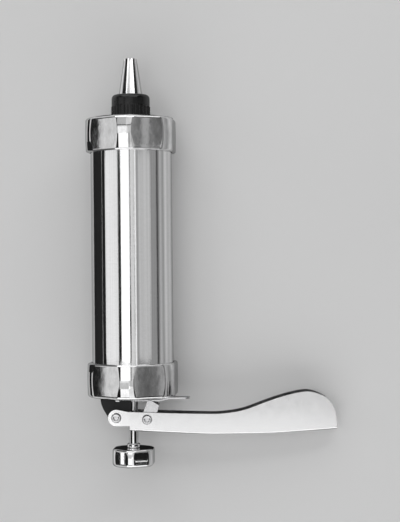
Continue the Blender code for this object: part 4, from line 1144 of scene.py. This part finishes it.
RIVET_HEAD_RADIUS = 2.2 * MM
RIVET_HEAD = 0.8 * MM
RIVET_CROWN = 0.72                  # the head's flat top, as a share of its radius
RIVET_SHANK = 1.3 * MM
rear_seat, front_seat = rivet_rear + RIVET_HEAD, rivet_front - RIVET_HEAD
rivet_body = turned(eased([
    (0, rivet_rear), (RIVET_HEAD_RADIUS * RIVET_CROWN, rivet_rear, 0.4 * MM),
    (RIVET_HEAD_RADIUS, rear_seat, 0.15 * MM), (RIVET_SHANK, rear_seat, 0.05 * MM),
    (RIVET_SHANK, front_seat, 0.05 * MM), (RIVET_HEAD_RADIUS, front_seat, 0.15 * MM),
    (RIVET_HEAD_RADIUS, rivet_front, 0.2 * MM), (0, rivet_front)]), HOLE_SIDES)
rivet_model = as_object("rivet_model", rivet_body)
rivet_tree_node.inputs["Object"].default_value = rivet_model
spots_body = bmesh.new()
for side_x in (-1, 1):
    for side_z in (-1, 1):
        spots_body.verts.new((side_x * RIVET_RING * sin(RIVET_ANGLE), 0,
                              side_z * RIVET_RING * cos(RIVET_ANGLE)))
base_rivets = grown("base_rivets", as_object("rivet_spots", spots_body), rivets,
                    {"Material": bright_steel.material})
bpy.data.objects.remove(rivet_model)
finish_grown(base_rivets)
hand_over(base_rivets, bright_steel, "rear_head", *[f"bracket_rivet_{n}" for n in range(1, 5)])

# %% [markdown]
# ## Stirrup, cam and lock plate
#
# Between the lever and the rod sit three bright pressed parts. The stirrup's cheeks show
# beside the rod, the cam grips the rod when the lever is squeezed, and the lock plate's tab
# sticks out for the thumb. They are flat sheet with clean sheared edges.

# %% The stirrup and the cam
STIRRUP_SHEET = 1.0 * MM
STIRRUP_HALF = 6.1 * MM
STIRRUP_RISE = 11.2 * MM
STIRRUP_SIDE = 7.3 * MM
STIRRUP_BOSS = 3.6 * MM
STIRRUP_HOLE = 1.8 * MM
STIRRUP_EDGE = 0.2 * MM
SHEET_GAP = 0.3 * MM
HARD_EDGE = 0.12 * MM               # the cam and the lock plate keep a crisper edge
CHEEK_SHARES = ((0.863, 0.411), (1.000, 0.750), (0.356, 1.000), (0.041, 1.000), (-0.274, 0.464))
cheek = [(STIRRUP[0] + across * STIRRUP_SIDE, STIRRUP[1] + rise * STIRRUP_RISE)
         for across, rise in CHEEK_SHARES]
boss = arc(STIRRUP, STIRRUP_BOSS, radians(180), radians(360), 24)
toe, top = Vector(cheek[0]), Vector(cheek[1])
along = (top - toe).normalized()
inset = Vector((-along.y, along.x)) * STIRRUP_SHEET
low = toe + inset - along * (STIRRUP_RISE + OVERRUN)
high = top + inset + along * (STIRRUP_RISE + OVERRUN)
far = STIRRUP[0] - STIRRUP_SIDE - OVERRUN
hollow = prism([tuple(low), tuple(high), (far, high.y), (far, low.y)],
               -STIRRUP_HALF + STIRRUP_SHEET, STIRRUP_HALF - STIRRUP_SHEET)
stirrup = machined("pressed_stirrup", prism(boss + cheek, -STIRRUP_HALF, STIRRUP_HALF), [
    ("DIFFERENCE", hollow), cross_hole(STIRRUP, STIRRUP_HOLE, STIRRUP_HALF + OVERRUN)],
    bright_steel, edge=STIRRUP_EDGE, edge_steps=3)
hand_over(stirrup, bright_steel, "stirrup_body", "drive_stirrup")

CAM_LENGTH = 5.74 * MM
CAM_ANGLE = radians(170)
CAM_BOSS = 2.6 * MM
CAM_NOSE = 0.5 * MM
CAM_SIDE = 2.4 * MM
lean = asin((CAM_BOSS - CAM_NOSE) / (CAM_LENGTH - CAM_NOSE))
half_turn = pi / 2 - lean
nose = (STIRRUP[0] + (CAM_LENGTH - CAM_NOSE) * cos(CAM_ANGLE),
        STIRRUP[1] + (CAM_LENGTH - CAM_NOSE) * sin(CAM_ANGLE))
cam_outline = arc(nose, CAM_NOSE, CAM_ANGLE - half_turn, CAM_ANGLE + half_turn, 12)
cam_outline += arc(STIRRUP, CAM_BOSS, CAM_ANGLE + half_turn, CAM_ANGLE - half_turn + 2 * pi, 40)
cam = machined("hard_cam",
               prism(cam_outline, -STIRRUP_HALF + STIRRUP_SHEET + SHEET_GAP, CAM_SIDE),
               [cross_hole(STIRRUP, STIRRUP_HOLE, STIRRUP_HALF)], spring_steel, edge=HARD_EDGE)
hand_over(cam, spring_steel, "stirrup_body", "grip_cam")

# %% The lock plate
LOCK_SHEET = 1.0 * MM
LOCK_SETBACK = 1.4 * MM
LOCK_HEEL_LENGTH = 1.6 * MM
LOCK_HALF = 4.6 * MM
LOCK_TAB_HALF = 4.2 * MM
LOCK_TAB_END = 35.0 * MM
LOCK_BEND_X = 15.5 * MM
LOCK_BEND = 8.0 * MM
LOCK_EYE = 3.15 * MM
LOCK_EYE_SIDES = 64
TAB_END_SHARES = ((0.7, 1.0), (0.4, 0.93), (0.2, 0.78), (0.07, 0.6), (0.0, 0.4))
bend_steps = 24
stations = [(LOCK_HEEL[0] - LOCK_HEEL_LENGTH, LOCK_HEEL[1], LOCK_HALF)]
for step in range(bend_steps + 1):
    share = step / bend_steps
    stations.append((LOCK_BEND_X + LOCK_BEND * share,
                     LOCK_HEEL[1] + (-LOCK_SETBACK - LOCK_HEEL[1]) * (1 - cos(pi * share)) / 2,
                     LOCK_HALF + (LOCK_TAB_HALF - LOCK_HALF) * share))
stations += [(LOCK_TAB_END - LOCK_TAB_HALF * back_off, -LOCK_SETBACK, LOCK_TAB_HALF * wide)
             for back_off, wide in TAB_END_SHARES]
plate_sections = [((x, y - LOCK_SHEET / 2, -wide), (x, y + LOCK_SHEET / 2, -wide),
                   (x, y + LOCK_SHEET / 2, wide), (x, y - LOCK_SHEET / 2, wide))
                  for x, y, wide in stations]
lug = prism([(LOCK_HEEL[0] + a * LOCK_LUG / 2, LOCK_HEEL[1] + b * LOCK_LUG_SHEET / 2)
             for a, b in ((-1, -1), (1, -1), (1, 1), (-1, 1))], -EAR_HALF, EAR_HALF)
rod_eye = turned([(0, LOCK_HEEL[1] - OVERRUN), (LOCK_EYE, LOCK_HEEL[1] - OVERRUN),
                  (LOCK_EYE, LOCK_HEEL[1] + OVERRUN), (0, LOCK_HEEL[1] + OVERRUN)],
                 LOCK_EYE_SIDES)
lock = machined("thumb_lock_plate", lofted(plate_sections),
                [("UNION", lug), ("DIFFERENCE", rod_eye)], bright_steel, edge=HARD_EDGE)
hand_over(lock, bright_steel, "lock_body", "lock_plate")

# %% [markdown]
# ## Springs
#
# The lock plate is pushed back by a coil round the rod, which the coil tree makes. The
# stirrup's spring has a leg at each end, so it is a wire bent along listed points instead.

# %% Both springs
LOCK_WIRE = 0.8 * MM
LOCK_SPRING_RADIUS = 4.2 * MM
LOCK_SPRING_TURNS = 4.0
spring_rear, spring_front = span("lock_spring")
coil_piece("lock_coil", LOCK_SPRING_TURNS, LOCK_SPRING_RADIUS, spring_rear + LOCK_WIRE,
           spring_front - spring_rear - 2 * LOCK_WIRE, LOCK_WIRE / 2, spring_steel,
           "rear_head", "lock_spring")

STIRRUP_WIRE = 0.5 * MM
SPRING_TURNS = 1.5
SPRING_PITCH = 1.0 * MM
SPRING_LEG = 3.4 * MM
SPRING_POINTS = 32
spring_radius = STIRRUP_HOLE + STIRRUP_WIRE / 2
start = radians(-70)
level = CAM_SIDE + SHEET_GAP + STIRRUP_WIRE / 2
route = []
for step in range(int(SPRING_TURNS * SPRING_POINTS) + 1):
    angle = start + 2 * pi * step / SPRING_POINTS
    route.append(Vector((STIRRUP[0] + spring_radius * cos(angle),
                         STIRRUP[1] + spring_radius * sin(angle),
                         level + SPRING_PITCH * step / SPRING_POINTS)))
route.insert(0, route[0] + (route[0] - route[1]).normalized() * SPRING_LEG)
route.append(route[-1] + (route[-1] - route[-2]).normalized() * SPRING_LEG)


def bent_wire(name, points, thickness, finish, carrier, *stands_for):
    """A round wire along points in press axes."""
    curve = bpy.data.curves.new(name, "CURVE")
    curve.dimensions = "3D"
    curve.bevel_depth = thickness / 2
    curve.bevel_resolution = 4
    curve.use_fill_caps = True
    line = curve.splines.new("POLY")
    line.points.add(len(points) - 1)
    for point, place in zip(line.points, points):
        point.co = (*place, 1)
    drawn = linked(name + "_curve", curve)
    ready = drawn.evaluated_get(bpy.context.evaluated_depsgraph_get())
    mesh = bpy.data.meshes.new_from_object(ready)
    mesh.name = name
    mesh.materials.append(finish.material)
    made = linked(name, mesh)
    bpy.data.objects.remove(drawn)
    finish_grown(made)
    return hand_over(made, finish, carrier, *stands_for)


bent_wire("stirrup_coil", route, STIRRUP_WIRE, spring_steel, "lever_body", "stirrup_spring")

# %% [markdown]
# ## Inside the tube
#
# The rear plug, its bush and the piston with its seal, washer, nut and collar don't show
# while the press is closed, but they do when it is taken apart. They are turned from the
# same sections as the solids, with eased edges.

# %% Plug, bush and piston
PLUG_RADIUS = 24.6 * MM
PLUG_FLANGE = 3.0 * MM
SPIGOT_RADIUS = 23.3 * MM
PLUG_HOLE = 5.0 * MM
BUSH_RADIUS = 4.7 * MM
BUSH_FLANGE = 1.5 * MM
BUSH_FLANGE_RADIUS = 7.5 * MM
plug_rear, plug_front = span("rear_plug")
bush_rear, bush_front = span("rod_bush")
turned_piece("end_plug", [
    (PLUG_HOLE, plug_rear), (PLUG_RADIUS, plug_rear), (PLUG_RADIUS, plug_rear + PLUG_FLANGE),
    (SPIGOT_RADIUS, plug_rear + PLUG_FLANGE), (SPIGOT_RADIUS, plug_front),
    (PLUG_HOLE, plug_front)], grey_plastic, "rear_head", "rear_plug")
turned_piece("guide_bush", [
    (ROD_HOLE, bush_rear), (BUSH_RADIUS, bush_rear), (BUSH_RADIUS, bush_front - BUSH_FLANGE),
    (BUSH_FLANGE_RADIUS, bush_front - BUSH_FLANGE), (BUSH_FLANGE_RADIUS, bush_front),
    (ROD_HOLE, bush_front)], black_plastic, "rear_head", "rod_bush", sides=SMALL_SIDES)

PISTON_RADIUS = 23.1 * MM
PISTON_DISC = 3.0 * MM
PISTON_SKIRT = 6.0 * MM
PISTON_WALL = 1.8 * MM
PISTON_HUB = 7.0 * MM
GROOVE = 2.4 * MM
GROOVE_DEPTH = 1.6 * MM
SEAL_RADIUS = 23.5 * MM
SEAT_GAP = 0.3 * MM
piston_rear, piston_face = span("piston")
piston_back = piston_face - PISTON_DISC
groove_rear = piston_face - (PISTON_DISC + GROOVE) / 2
groove_front = groove_rear + GROOVE
turned_piece("cup_piston", [
    (ROD_HOLE, piston_face), (PISTON_RADIUS, piston_face),
    (PISTON_RADIUS, groove_front, HAIR), (PISTON_RADIUS - GROOVE_DEPTH, groove_front, HAIR),
    (PISTON_RADIUS - GROOVE_DEPTH, groove_rear, HAIR), (PISTON_RADIUS, groove_rear, HAIR),
    (PISTON_RADIUS, piston_face - PISTON_SKIRT),
    (PISTON_RADIUS - PISTON_WALL, piston_face - PISTON_SKIRT),
    (PISTON_RADIUS - PISTON_WALL, piston_back), (PISTON_HUB, piston_back),
    (PISTON_HUB, piston_rear), (ROD_HOLE, piston_rear)], grey_plastic, "piston_body", "piston")
seal_rear, seal_front = groove_rear + SEAT_GAP, groove_front - SEAT_GAP
turned_piece("lip_seal", [
    (PISTON_RADIUS - GROOVE_DEPTH + SEAT_GAP, seal_rear), (PISTON_RADIUS, seal_rear),
    (SEAL_RADIUS, (seal_rear + seal_front) / 2, 0.4 * MM), (PISTON_RADIUS, seal_front),
    (PISTON_RADIUS - GROOVE_DEPTH + SEAT_GAP, seal_front)], seal_rubber, "piston_body",
    "piston_seal", radius=0.2 * MM)

# %% Washer, nut and collar on the rod
for name, node, radius, finish in (
        ("face_washer", "piston_washer", 8.0 * MM, bright_steel),
        ("rod_collar", "piston_collar", 5.5 * MM, bright_steel)):
    rear_end, front_end = span(node)
    turned_piece(name, [(ROD_HOLE, rear_end), (radius, rear_end), (radius, front_end),
                        (ROD_HOLE, front_end)], finish, "rod_body", node, sides=SMALL_SIDES)
NUT_FLAT = 4.9 * MM
NUT_CORNER = 5.6 * MM
NUT_CHAMFER = 0.6 * MM
NUT_SIDES = 240
NUT_RIM = 4.0 * MM
nut_low, nut_high = span("piston_nut")
section = eased([(ROD_HOLE, nut_low), (NUT_CORNER, nut_low, NUT_CHAMFER),
                 (NUT_CORNER, nut_high, NUT_CHAMFER), (ROD_HOLE, nut_high)])
hex_nut = grown("hex_nut", as_object("hex_blank", turned(section, NUT_SIDES)), flats, {
    "Flats": float(FLAT_COUNT), "Distance": NUT_FLAT, "Phase": 0.0, "Softness": 0.05 * MM,
    "Land": NUT_CORNER, "Crown": 0.0, "Middle": nut_low, "Half Height": nut_high - nut_low,
    "Rim": NUT_RIM, "Material": bright_steel.material})
finish_grown(hex_nut)
hand_over(hex_nut, bright_steel, "rod_body", "piston_nut")

# %% [markdown]
# ## Floor and backdrop
#
# The press lies on a plain pale floor. The floor sweeps up into a wall a long way off, so
# that the metal has a quiet horizon to mirror and other views have no edge. Only its lower,
# nearer part is pale: higher up and further off it is painted darker, as painted shade for
# the light's fall-off, which gives the chrome its darker bands. Mirrors see painted light
# and shade on it that the camera doesn't: painted shade in soft bands on the right and
# under the knob, and a painted glow far on the left.

# %% The sweep
FLOOR_REACH = 1.6
SWEEP_RADIUS = 0.5
WALL_HEIGHT = 1.3


def sweep():
    """Floor and wall in one turned surface, with its inner side up."""
    profile = [(0, 0), (0.3, 0), (FLOOR_REACH - SWEEP_RADIUS, 0)]
    profile += [(FLOOR_REACH - SWEEP_RADIUS + SWEEP_RADIUS * sin(pi / 2 * step / 12),
                 SWEEP_RADIUS * (1 - cos(pi / 2 * step / 12))) for step in range(1, 13)]
    profile.append((FLOOR_REACH, WALL_HEIGHT))
    body = bmesh.new()
    sides = 96
    loops = [[body.verts.new((radius * cos(2 * pi * side / sides),
                              radius * sin(2 * pi * side / sides), height))
              for side in range(sides)] for radius, height in profile[1:]]
    middle_point = body.verts.new((0, 0, 0))
    for side in range(sides):
        after = (side + 1) % sides
        body.faces.new((middle_point, loops[0][side], loops[0][after]))
        for low_loop, high_loop in zip(loops, loops[1:]):
            body.faces.new((low_loop[side], high_loop[side], high_loop[after], low_loop[after]))
    mesh = bpy.data.meshes.new("studio_floor")
    body.to_mesh(mesh)
    body.free()
    mesh.shade_smooth()
    return linked("studio_floor", mesh)


FLOOR_COLOUR = (0.8, 0.8, 0.8)
SHADE_BAND_REACH = 0.4                    # how far right the floor's soft bands go, in mirrors only
studio = Finish("studio", FLOOR_COLOUR, 0.0, 0.75, Emission_Strength=1.0)
here = studio.node("ShaderNodeTexCoord", output="Object")
across, along, rise = (Wire(studio, socket) for socket in studio.node(
    "ShaderNodeSeparateXYZ", None, {"Vector": here}).socket.node.outputs)
across = across - middle.x
along = along - REAR_FACE
far = studio.node("ShaderNodeVectorMath", {"operation": "LENGTH"}, {"Vector": here}, "Value")


def fade(value, start, end, first, last):
    """A smooth change from the first strength to the last one."""
    return studio.node("ShaderNodeMapRange", {"clamp": True, "interpolation_type": "SMOOTHSTEP"}, {
        "Value": value, "From Min": start, "From Max": end, "To Min": first, "To Max": last})


cloud = studio.node("ShaderNodeTexNoise", None, {"Vector": here, "Scale": 2.0, "Detail": 2.0})
mirrored = studio.node("ShaderNodeLightPath", output="Is Glossy Ray")
# painted shade: seen only in mirrors, the floor is darkened in bands on the right
mirrored_shade_bands = studio.node("ShaderNodeValToRGB", {"stops": [
    (0, 0.6), (0.075, 0.52), (0.11, 0.93), (0.15, 0.71), (0.2, 1.0), (0.3, 0.47), (0.4, 0.62),
    (0.62, 0.8), (1, 0.55)]}, {"Fac": across / SHADE_BAND_REACH})
# painted shade: a dark patch on the floor at the knob's foot, seen only in mirrors
painted_shade_under_knob = (fade(across, -0.045, -0.036, 0.0, 1.0) * fade(across, -0.022, -0.014, 1.0, 0.0)
              * fade(along, -0.02, -0.005, 1.0, 0.0))
# painted shade: the sweep is painted darker higher up and further off, as the light falls off
studio.tint(fade(rise, 0.0, 0.6, 1.0, 0.6) * fade(far, 0.25, 0.8, 1.0, 0.55)
            * studio.spread(cloud, 0.94, 1.0) * (1 - mirrored * (1 - mirrored_shade_bands))
            * (1 - 0.95 * mirrored * painted_shade_under_knob), 0.0, 1.0)
# painted light: a glow far on the floor's left that only mirrors see
painted_mirror_glow = mirrored * fade(across, -0.10, -0.065, 0.4, 0.0)
studio.join(studio.node("ShaderNodeCombineXYZ", None, {"X": painted_mirror_glow, "Y": painted_mirror_glow, "Z": painted_mirror_glow}),
            studio.shader.inputs["Emission Color"])
studio.bump(studio.node("ShaderNodeTexNoise", None, {
    "Vector": here, "Scale": 900.0, "Detail": 2.0}), 0.00003)
studio_floor = sweep()
studio_floor.data.materials.append(studio.material)
studio_floor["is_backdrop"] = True

# %% [markdown]
# ## Lamps as the metal sees them
#
# What a polished tube shows is a map of the lamps: a point whose surface leans by some
# angle mirrors what stands at twice that angle. So each lamp is given by the two angles
# between which the tube should mirror it, measured about the tube's axis from straight
# above the lever, and by how far it reaches along the tube. A lamp's level is the
# brightness of its face, where 1 is white, and its power follows from its area.

# %% Softboxes
LAMP_DISTANCE = 1.05


def area_lamp(name, wide, long, level, matrix):
    """A rectangular lamp whose face has this level. The camera doesn't see it."""
    lamp = bpy.data.lights.new(name, "AREA")
    lamp.shape = "RECTANGLE"
    lamp.size = wide
    lamp.size_y = long
    lamp.energy = level * pi * wide * long
    made = linked(name, lamp)
    made.matrix_world = matrix
    made.visible_camera = False
    print(f"{name}: {wide:.2f} by {long:.2f} m, {lamp.energy:.1f} W")


def softbox(name, start, end, rear, front, level):
    """A lamp that fills the angles from start to end, and the reach from rear to front."""
    half = radians(end - start) / 2
    toward = radians(start + end) / 2
    spot = PRESS @ Vector((LAMP_DISTANCE * sin(toward), (rear + front) / 2,
                           LAMP_DISTANCE * cos(toward)))
    area_lamp(name, 2 * LAMP_DISTANCE * tan(half), front - rear, level,
              Matrix.Translation(spot) @ Matrix.Rotation(ROLL + toward, 4, "Y"))


TUBE_REAR, TUBE_FRONT = -0.060, 0.246   # what the bare tube mirrors, along its length
REAR_END, FRONT_END = -0.13, 0.45       # and what the two rings mirror beyond that
KNOB_END = -0.34
TIP_NEAR, TIP_FAR = 0.58, 0.95

softbox("key_box", -27.3, -3, TUBE_REAR, TUBE_FRONT, 1.3)
for band, (start, end, level, low_level) in enumerate((
        (-31.0, -9.0, 1.05, 0.62), (-9.0, -7.5, 0.96, 0.7), (-7.5, -6.0, 0.84, 0.78),
        (-6.0, -4.5, 0.72, 0.85)), 1):
    softbox(f"key_front_{band}", start, end, TUBE_FRONT, 0.335, level)
    softbox(f"key_front_far_{band}", start, end, 0.335, 0.35, 0.8 * level)
    softbox(f"key_rear_{band}", start, end, -0.085, TUBE_REAR, (level + low_level) / 2)
    softbox(f"key_rear_far_{band}", start, end, -0.17, -0.085, low_level)

for card in (
        ("key_end", -31, -9, 0.362, 0.52, 0.5),
        ("key_end_right", -9, 14, 0.362, 0.52, 0.72),
        ("left_card", -76, -36.0, TUBE_REAR, TUBE_FRONT, 0.82),
        ("left_card_front", -74.75, -36.5, TUBE_FRONT, FRONT_END, 0.68),
        ("left_card_rear", -74.6, -36.5, REAR_END, TUBE_REAR, 0.72),
        ("top_card", -1, 9.5, TUBE_REAR, TUBE_FRONT, 0.68),
        ("line_card", 10.5, 14.5, TUBE_REAR, TUBE_FRONT, 0.93),
        ("top_front", -4.5, 14.5, TUBE_FRONT, 0.35, 0.62),
        ("top_rear", -4.5, 14.5, REAR_END, TUBE_REAR, 0.62),
        ("dim_card", 14.5, 21, TUBE_REAR, TUBE_FRONT, 0.3),
        ("fill_box", 21, 56, TUBE_REAR, TUBE_FRONT, 0.5)):
    softbox(*card)
for band, (start, end, front_level, rear_level) in enumerate((
        (14.5, 44.0, 0.25, 0.2), (44.0, 44.5, 0.22, 0.55), (44.5, 45.2, 0.24, 0.28),
        (45.2, 45.7, 0.16, 0.15), (45.7, 46.3, 0.4, 0.12), (46.3, 46.8, 0.17, 0.16),
        (46.8, 56.0, 0.13, 0.34)), 1):
    softbox(f"fill_front_{band}", start, end, TUBE_FRONT, FRONT_END, front_level)
    softbox(f"fill_rear_{band}", start, end, REAR_END, TUBE_REAR, rear_level)
for card in (
        ("edge_card", 83, 91, TUBE_FRONT, FRONT_END, 0.9),
        ("low_card", 56, 76, REAR_END, FRONT_END, 0.26),
        ("lever_card", -7, 15, -0.5, -0.133, 0.93),
        ("knob_strip", -74.25, -73.99, KNOB_END, REAR_END, 1.3),
        ("knob_key", -28, -7, KNOB_END, -0.17, 1.2),
        ("knob_line", 36, 56, -0.2036, -0.2022, 1.0),
        ("tip_card", -6, 45, TIP_NEAR, TIP_FAR, 1.1),
        ("tip_shade", -30, -6, TIP_NEAR, TIP_FAR, 0.5),
        ("tip_strip", -46, -33, TIP_NEAR, TIP_FAR, 0.75)):
    softbox(*card)

# %% Boxes at both ends
END_DISTANCE = 1.1
END_MIDDLE = 0.08
END_REACH = 48                          # degrees that each box fills along the press
END_WIDTH = 1.8
END_LEVEL = 1.15

for name, tilt in (("front_end_box", 57), ("rear_end_box", -57)):
    lean = radians(tilt)
    spot = Vector((0, END_MIDDLE + END_DISTANCE * sin(lean), END_DISTANCE * cos(lean)))
    area_lamp(name, END_WIDTH, 2 * END_DISTANCE * tan(radians(END_REACH) / 2), END_LEVEL,
              PRESS @ Matrix.Translation(spot) @ Matrix.Rotation(-lean, 4, "X"))

# %% [markdown]
# ## Dark cards seen only in mirrors
#
# A tube between pale walls looks like plastic. It needs black to look like metal. Dark
# cards that only mirrors see paint the shade beside and under the press into the metal as
# painted shade: one long card low on the left, where the tube leans away, a short one beside
# each ring, and one under the rear ring's face. A wide black canopy hangs behind the lamps,
# so that every gap between them is mirrored as a dark line. All of them take part only in
# reflections.

# %% Dark cards seen only in mirrors
def flag(name, edge_points, rear, front, level):
    """A dark card along (x, z) points in press axes, seen only in mirrors."""
    body = bmesh.new()
    rows = [[body.verts.new(PRESS @ Vector((x, y, z))) for x, z in edge_points]
            for y in (rear, front)]
    for index in range(len(edge_points) - 1):
        body.faces.new((rows[0][index], rows[0][index + 1], rows[1][index + 1], rows[1][index]))
    mesh = bpy.data.meshes.new(name)
    body.to_mesh(mesh)
    body.free()
    made = linked(name, mesh)
    card = Finish(name, (level, level, level), 0.0, 0.9)
    card.tint(card.noise((30, 30, 30)), 0.8, 1.2)
    made.data.materials.append(card.material)
    made.visible_camera = False
    made.visible_shadow = False
    made.visible_diffuse = False
    made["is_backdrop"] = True
    return made


# painted shade: dark cards beside and under the press, seen only in mirrors, stand for the shade
# there
flag("left_flag", [(-0.0496, -0.0149), (-0.080, 0.0185)], 0.014, 0.158, 0.01)
for end, (rear, front) in enumerate(((-0.02, 0.014), (0.158, 0.19)), 1):
    flag(f"ring_flag_{end}", [(-0.0583, -0.0192), (-0.063, -0.0083)], rear, front, 0.01)
flag("rear_flag", [(-0.018, -0.024), (0.03, -0.024)], -0.031, -0.004, 0.01)
CANOPY_RADIUS = 1.4
canopy = [(CANOPY_RADIUS * sin(radians(angle)), CANOPY_RADIUS * cos(radians(angle)))
          for angle in range(-88, 79, 2)]
flag("black_canopy", canopy, -0.95, 1.1, 0.01)

# %% [markdown]
# ## World
#
# The world is nearly black, so what no lamp fills stays dark in the metal.

# %% World
world = bpy.data.worlds.new("studio_dark")
bpy.context.scene.world = world
world.use_nodes = True
world.node_tree.nodes["Background"].inputs["Color"].default_value = (0.03, 0.03, 0.03, 1)
world.node_tree.nodes["Background"].inputs["Strength"].default_value = 1.0

# %% [markdown]
# ## Camera
#
# The camera looks square at the lever from about 0.78 m, over the middle of the picture,
# which lies beside the tube. The press leans half a degree, and that comes from turning
# the camera about its own line of sight.

# %% Camera
EYE = Vector((41.9, 82.7, 780.0)) * MM
PICTURE_HALF_HEIGHT = 161.0 * MM    # what half the picture's height covers at the tube's middle
LEAN = radians(0.52)
camera = bpy.data.cameras.new("camera")
camera.sensor_fit = "VERTICAL"
camera.angle_y = 2 * atan2(PICTURE_HALF_HEIGHT, EYE.z)
camera.clip_start = 0.01
camera.clip_end = 20.0
eye = linked("camera", camera)
eye.matrix_world = PRESS @ Matrix.Translation(EYE) @ Matrix.Rotation(-LEAN, 4, "Z")
bpy.context.scene.camera = eye
bpy.context.scene.view_settings.view_transform = "Standard"

# %% [markdown]
# ## Sizes and the end
#
# The finished model's box is compared with the solids' box, and the largest difference
# between them is printed. The finished model has to stay inside the solids' box.

# %% Print how far the sizes differ
low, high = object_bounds()
print("size differs by at most",
      max(abs(a - b) for a, b in zip((*low, *high), (*cad_low, *cad_high))))
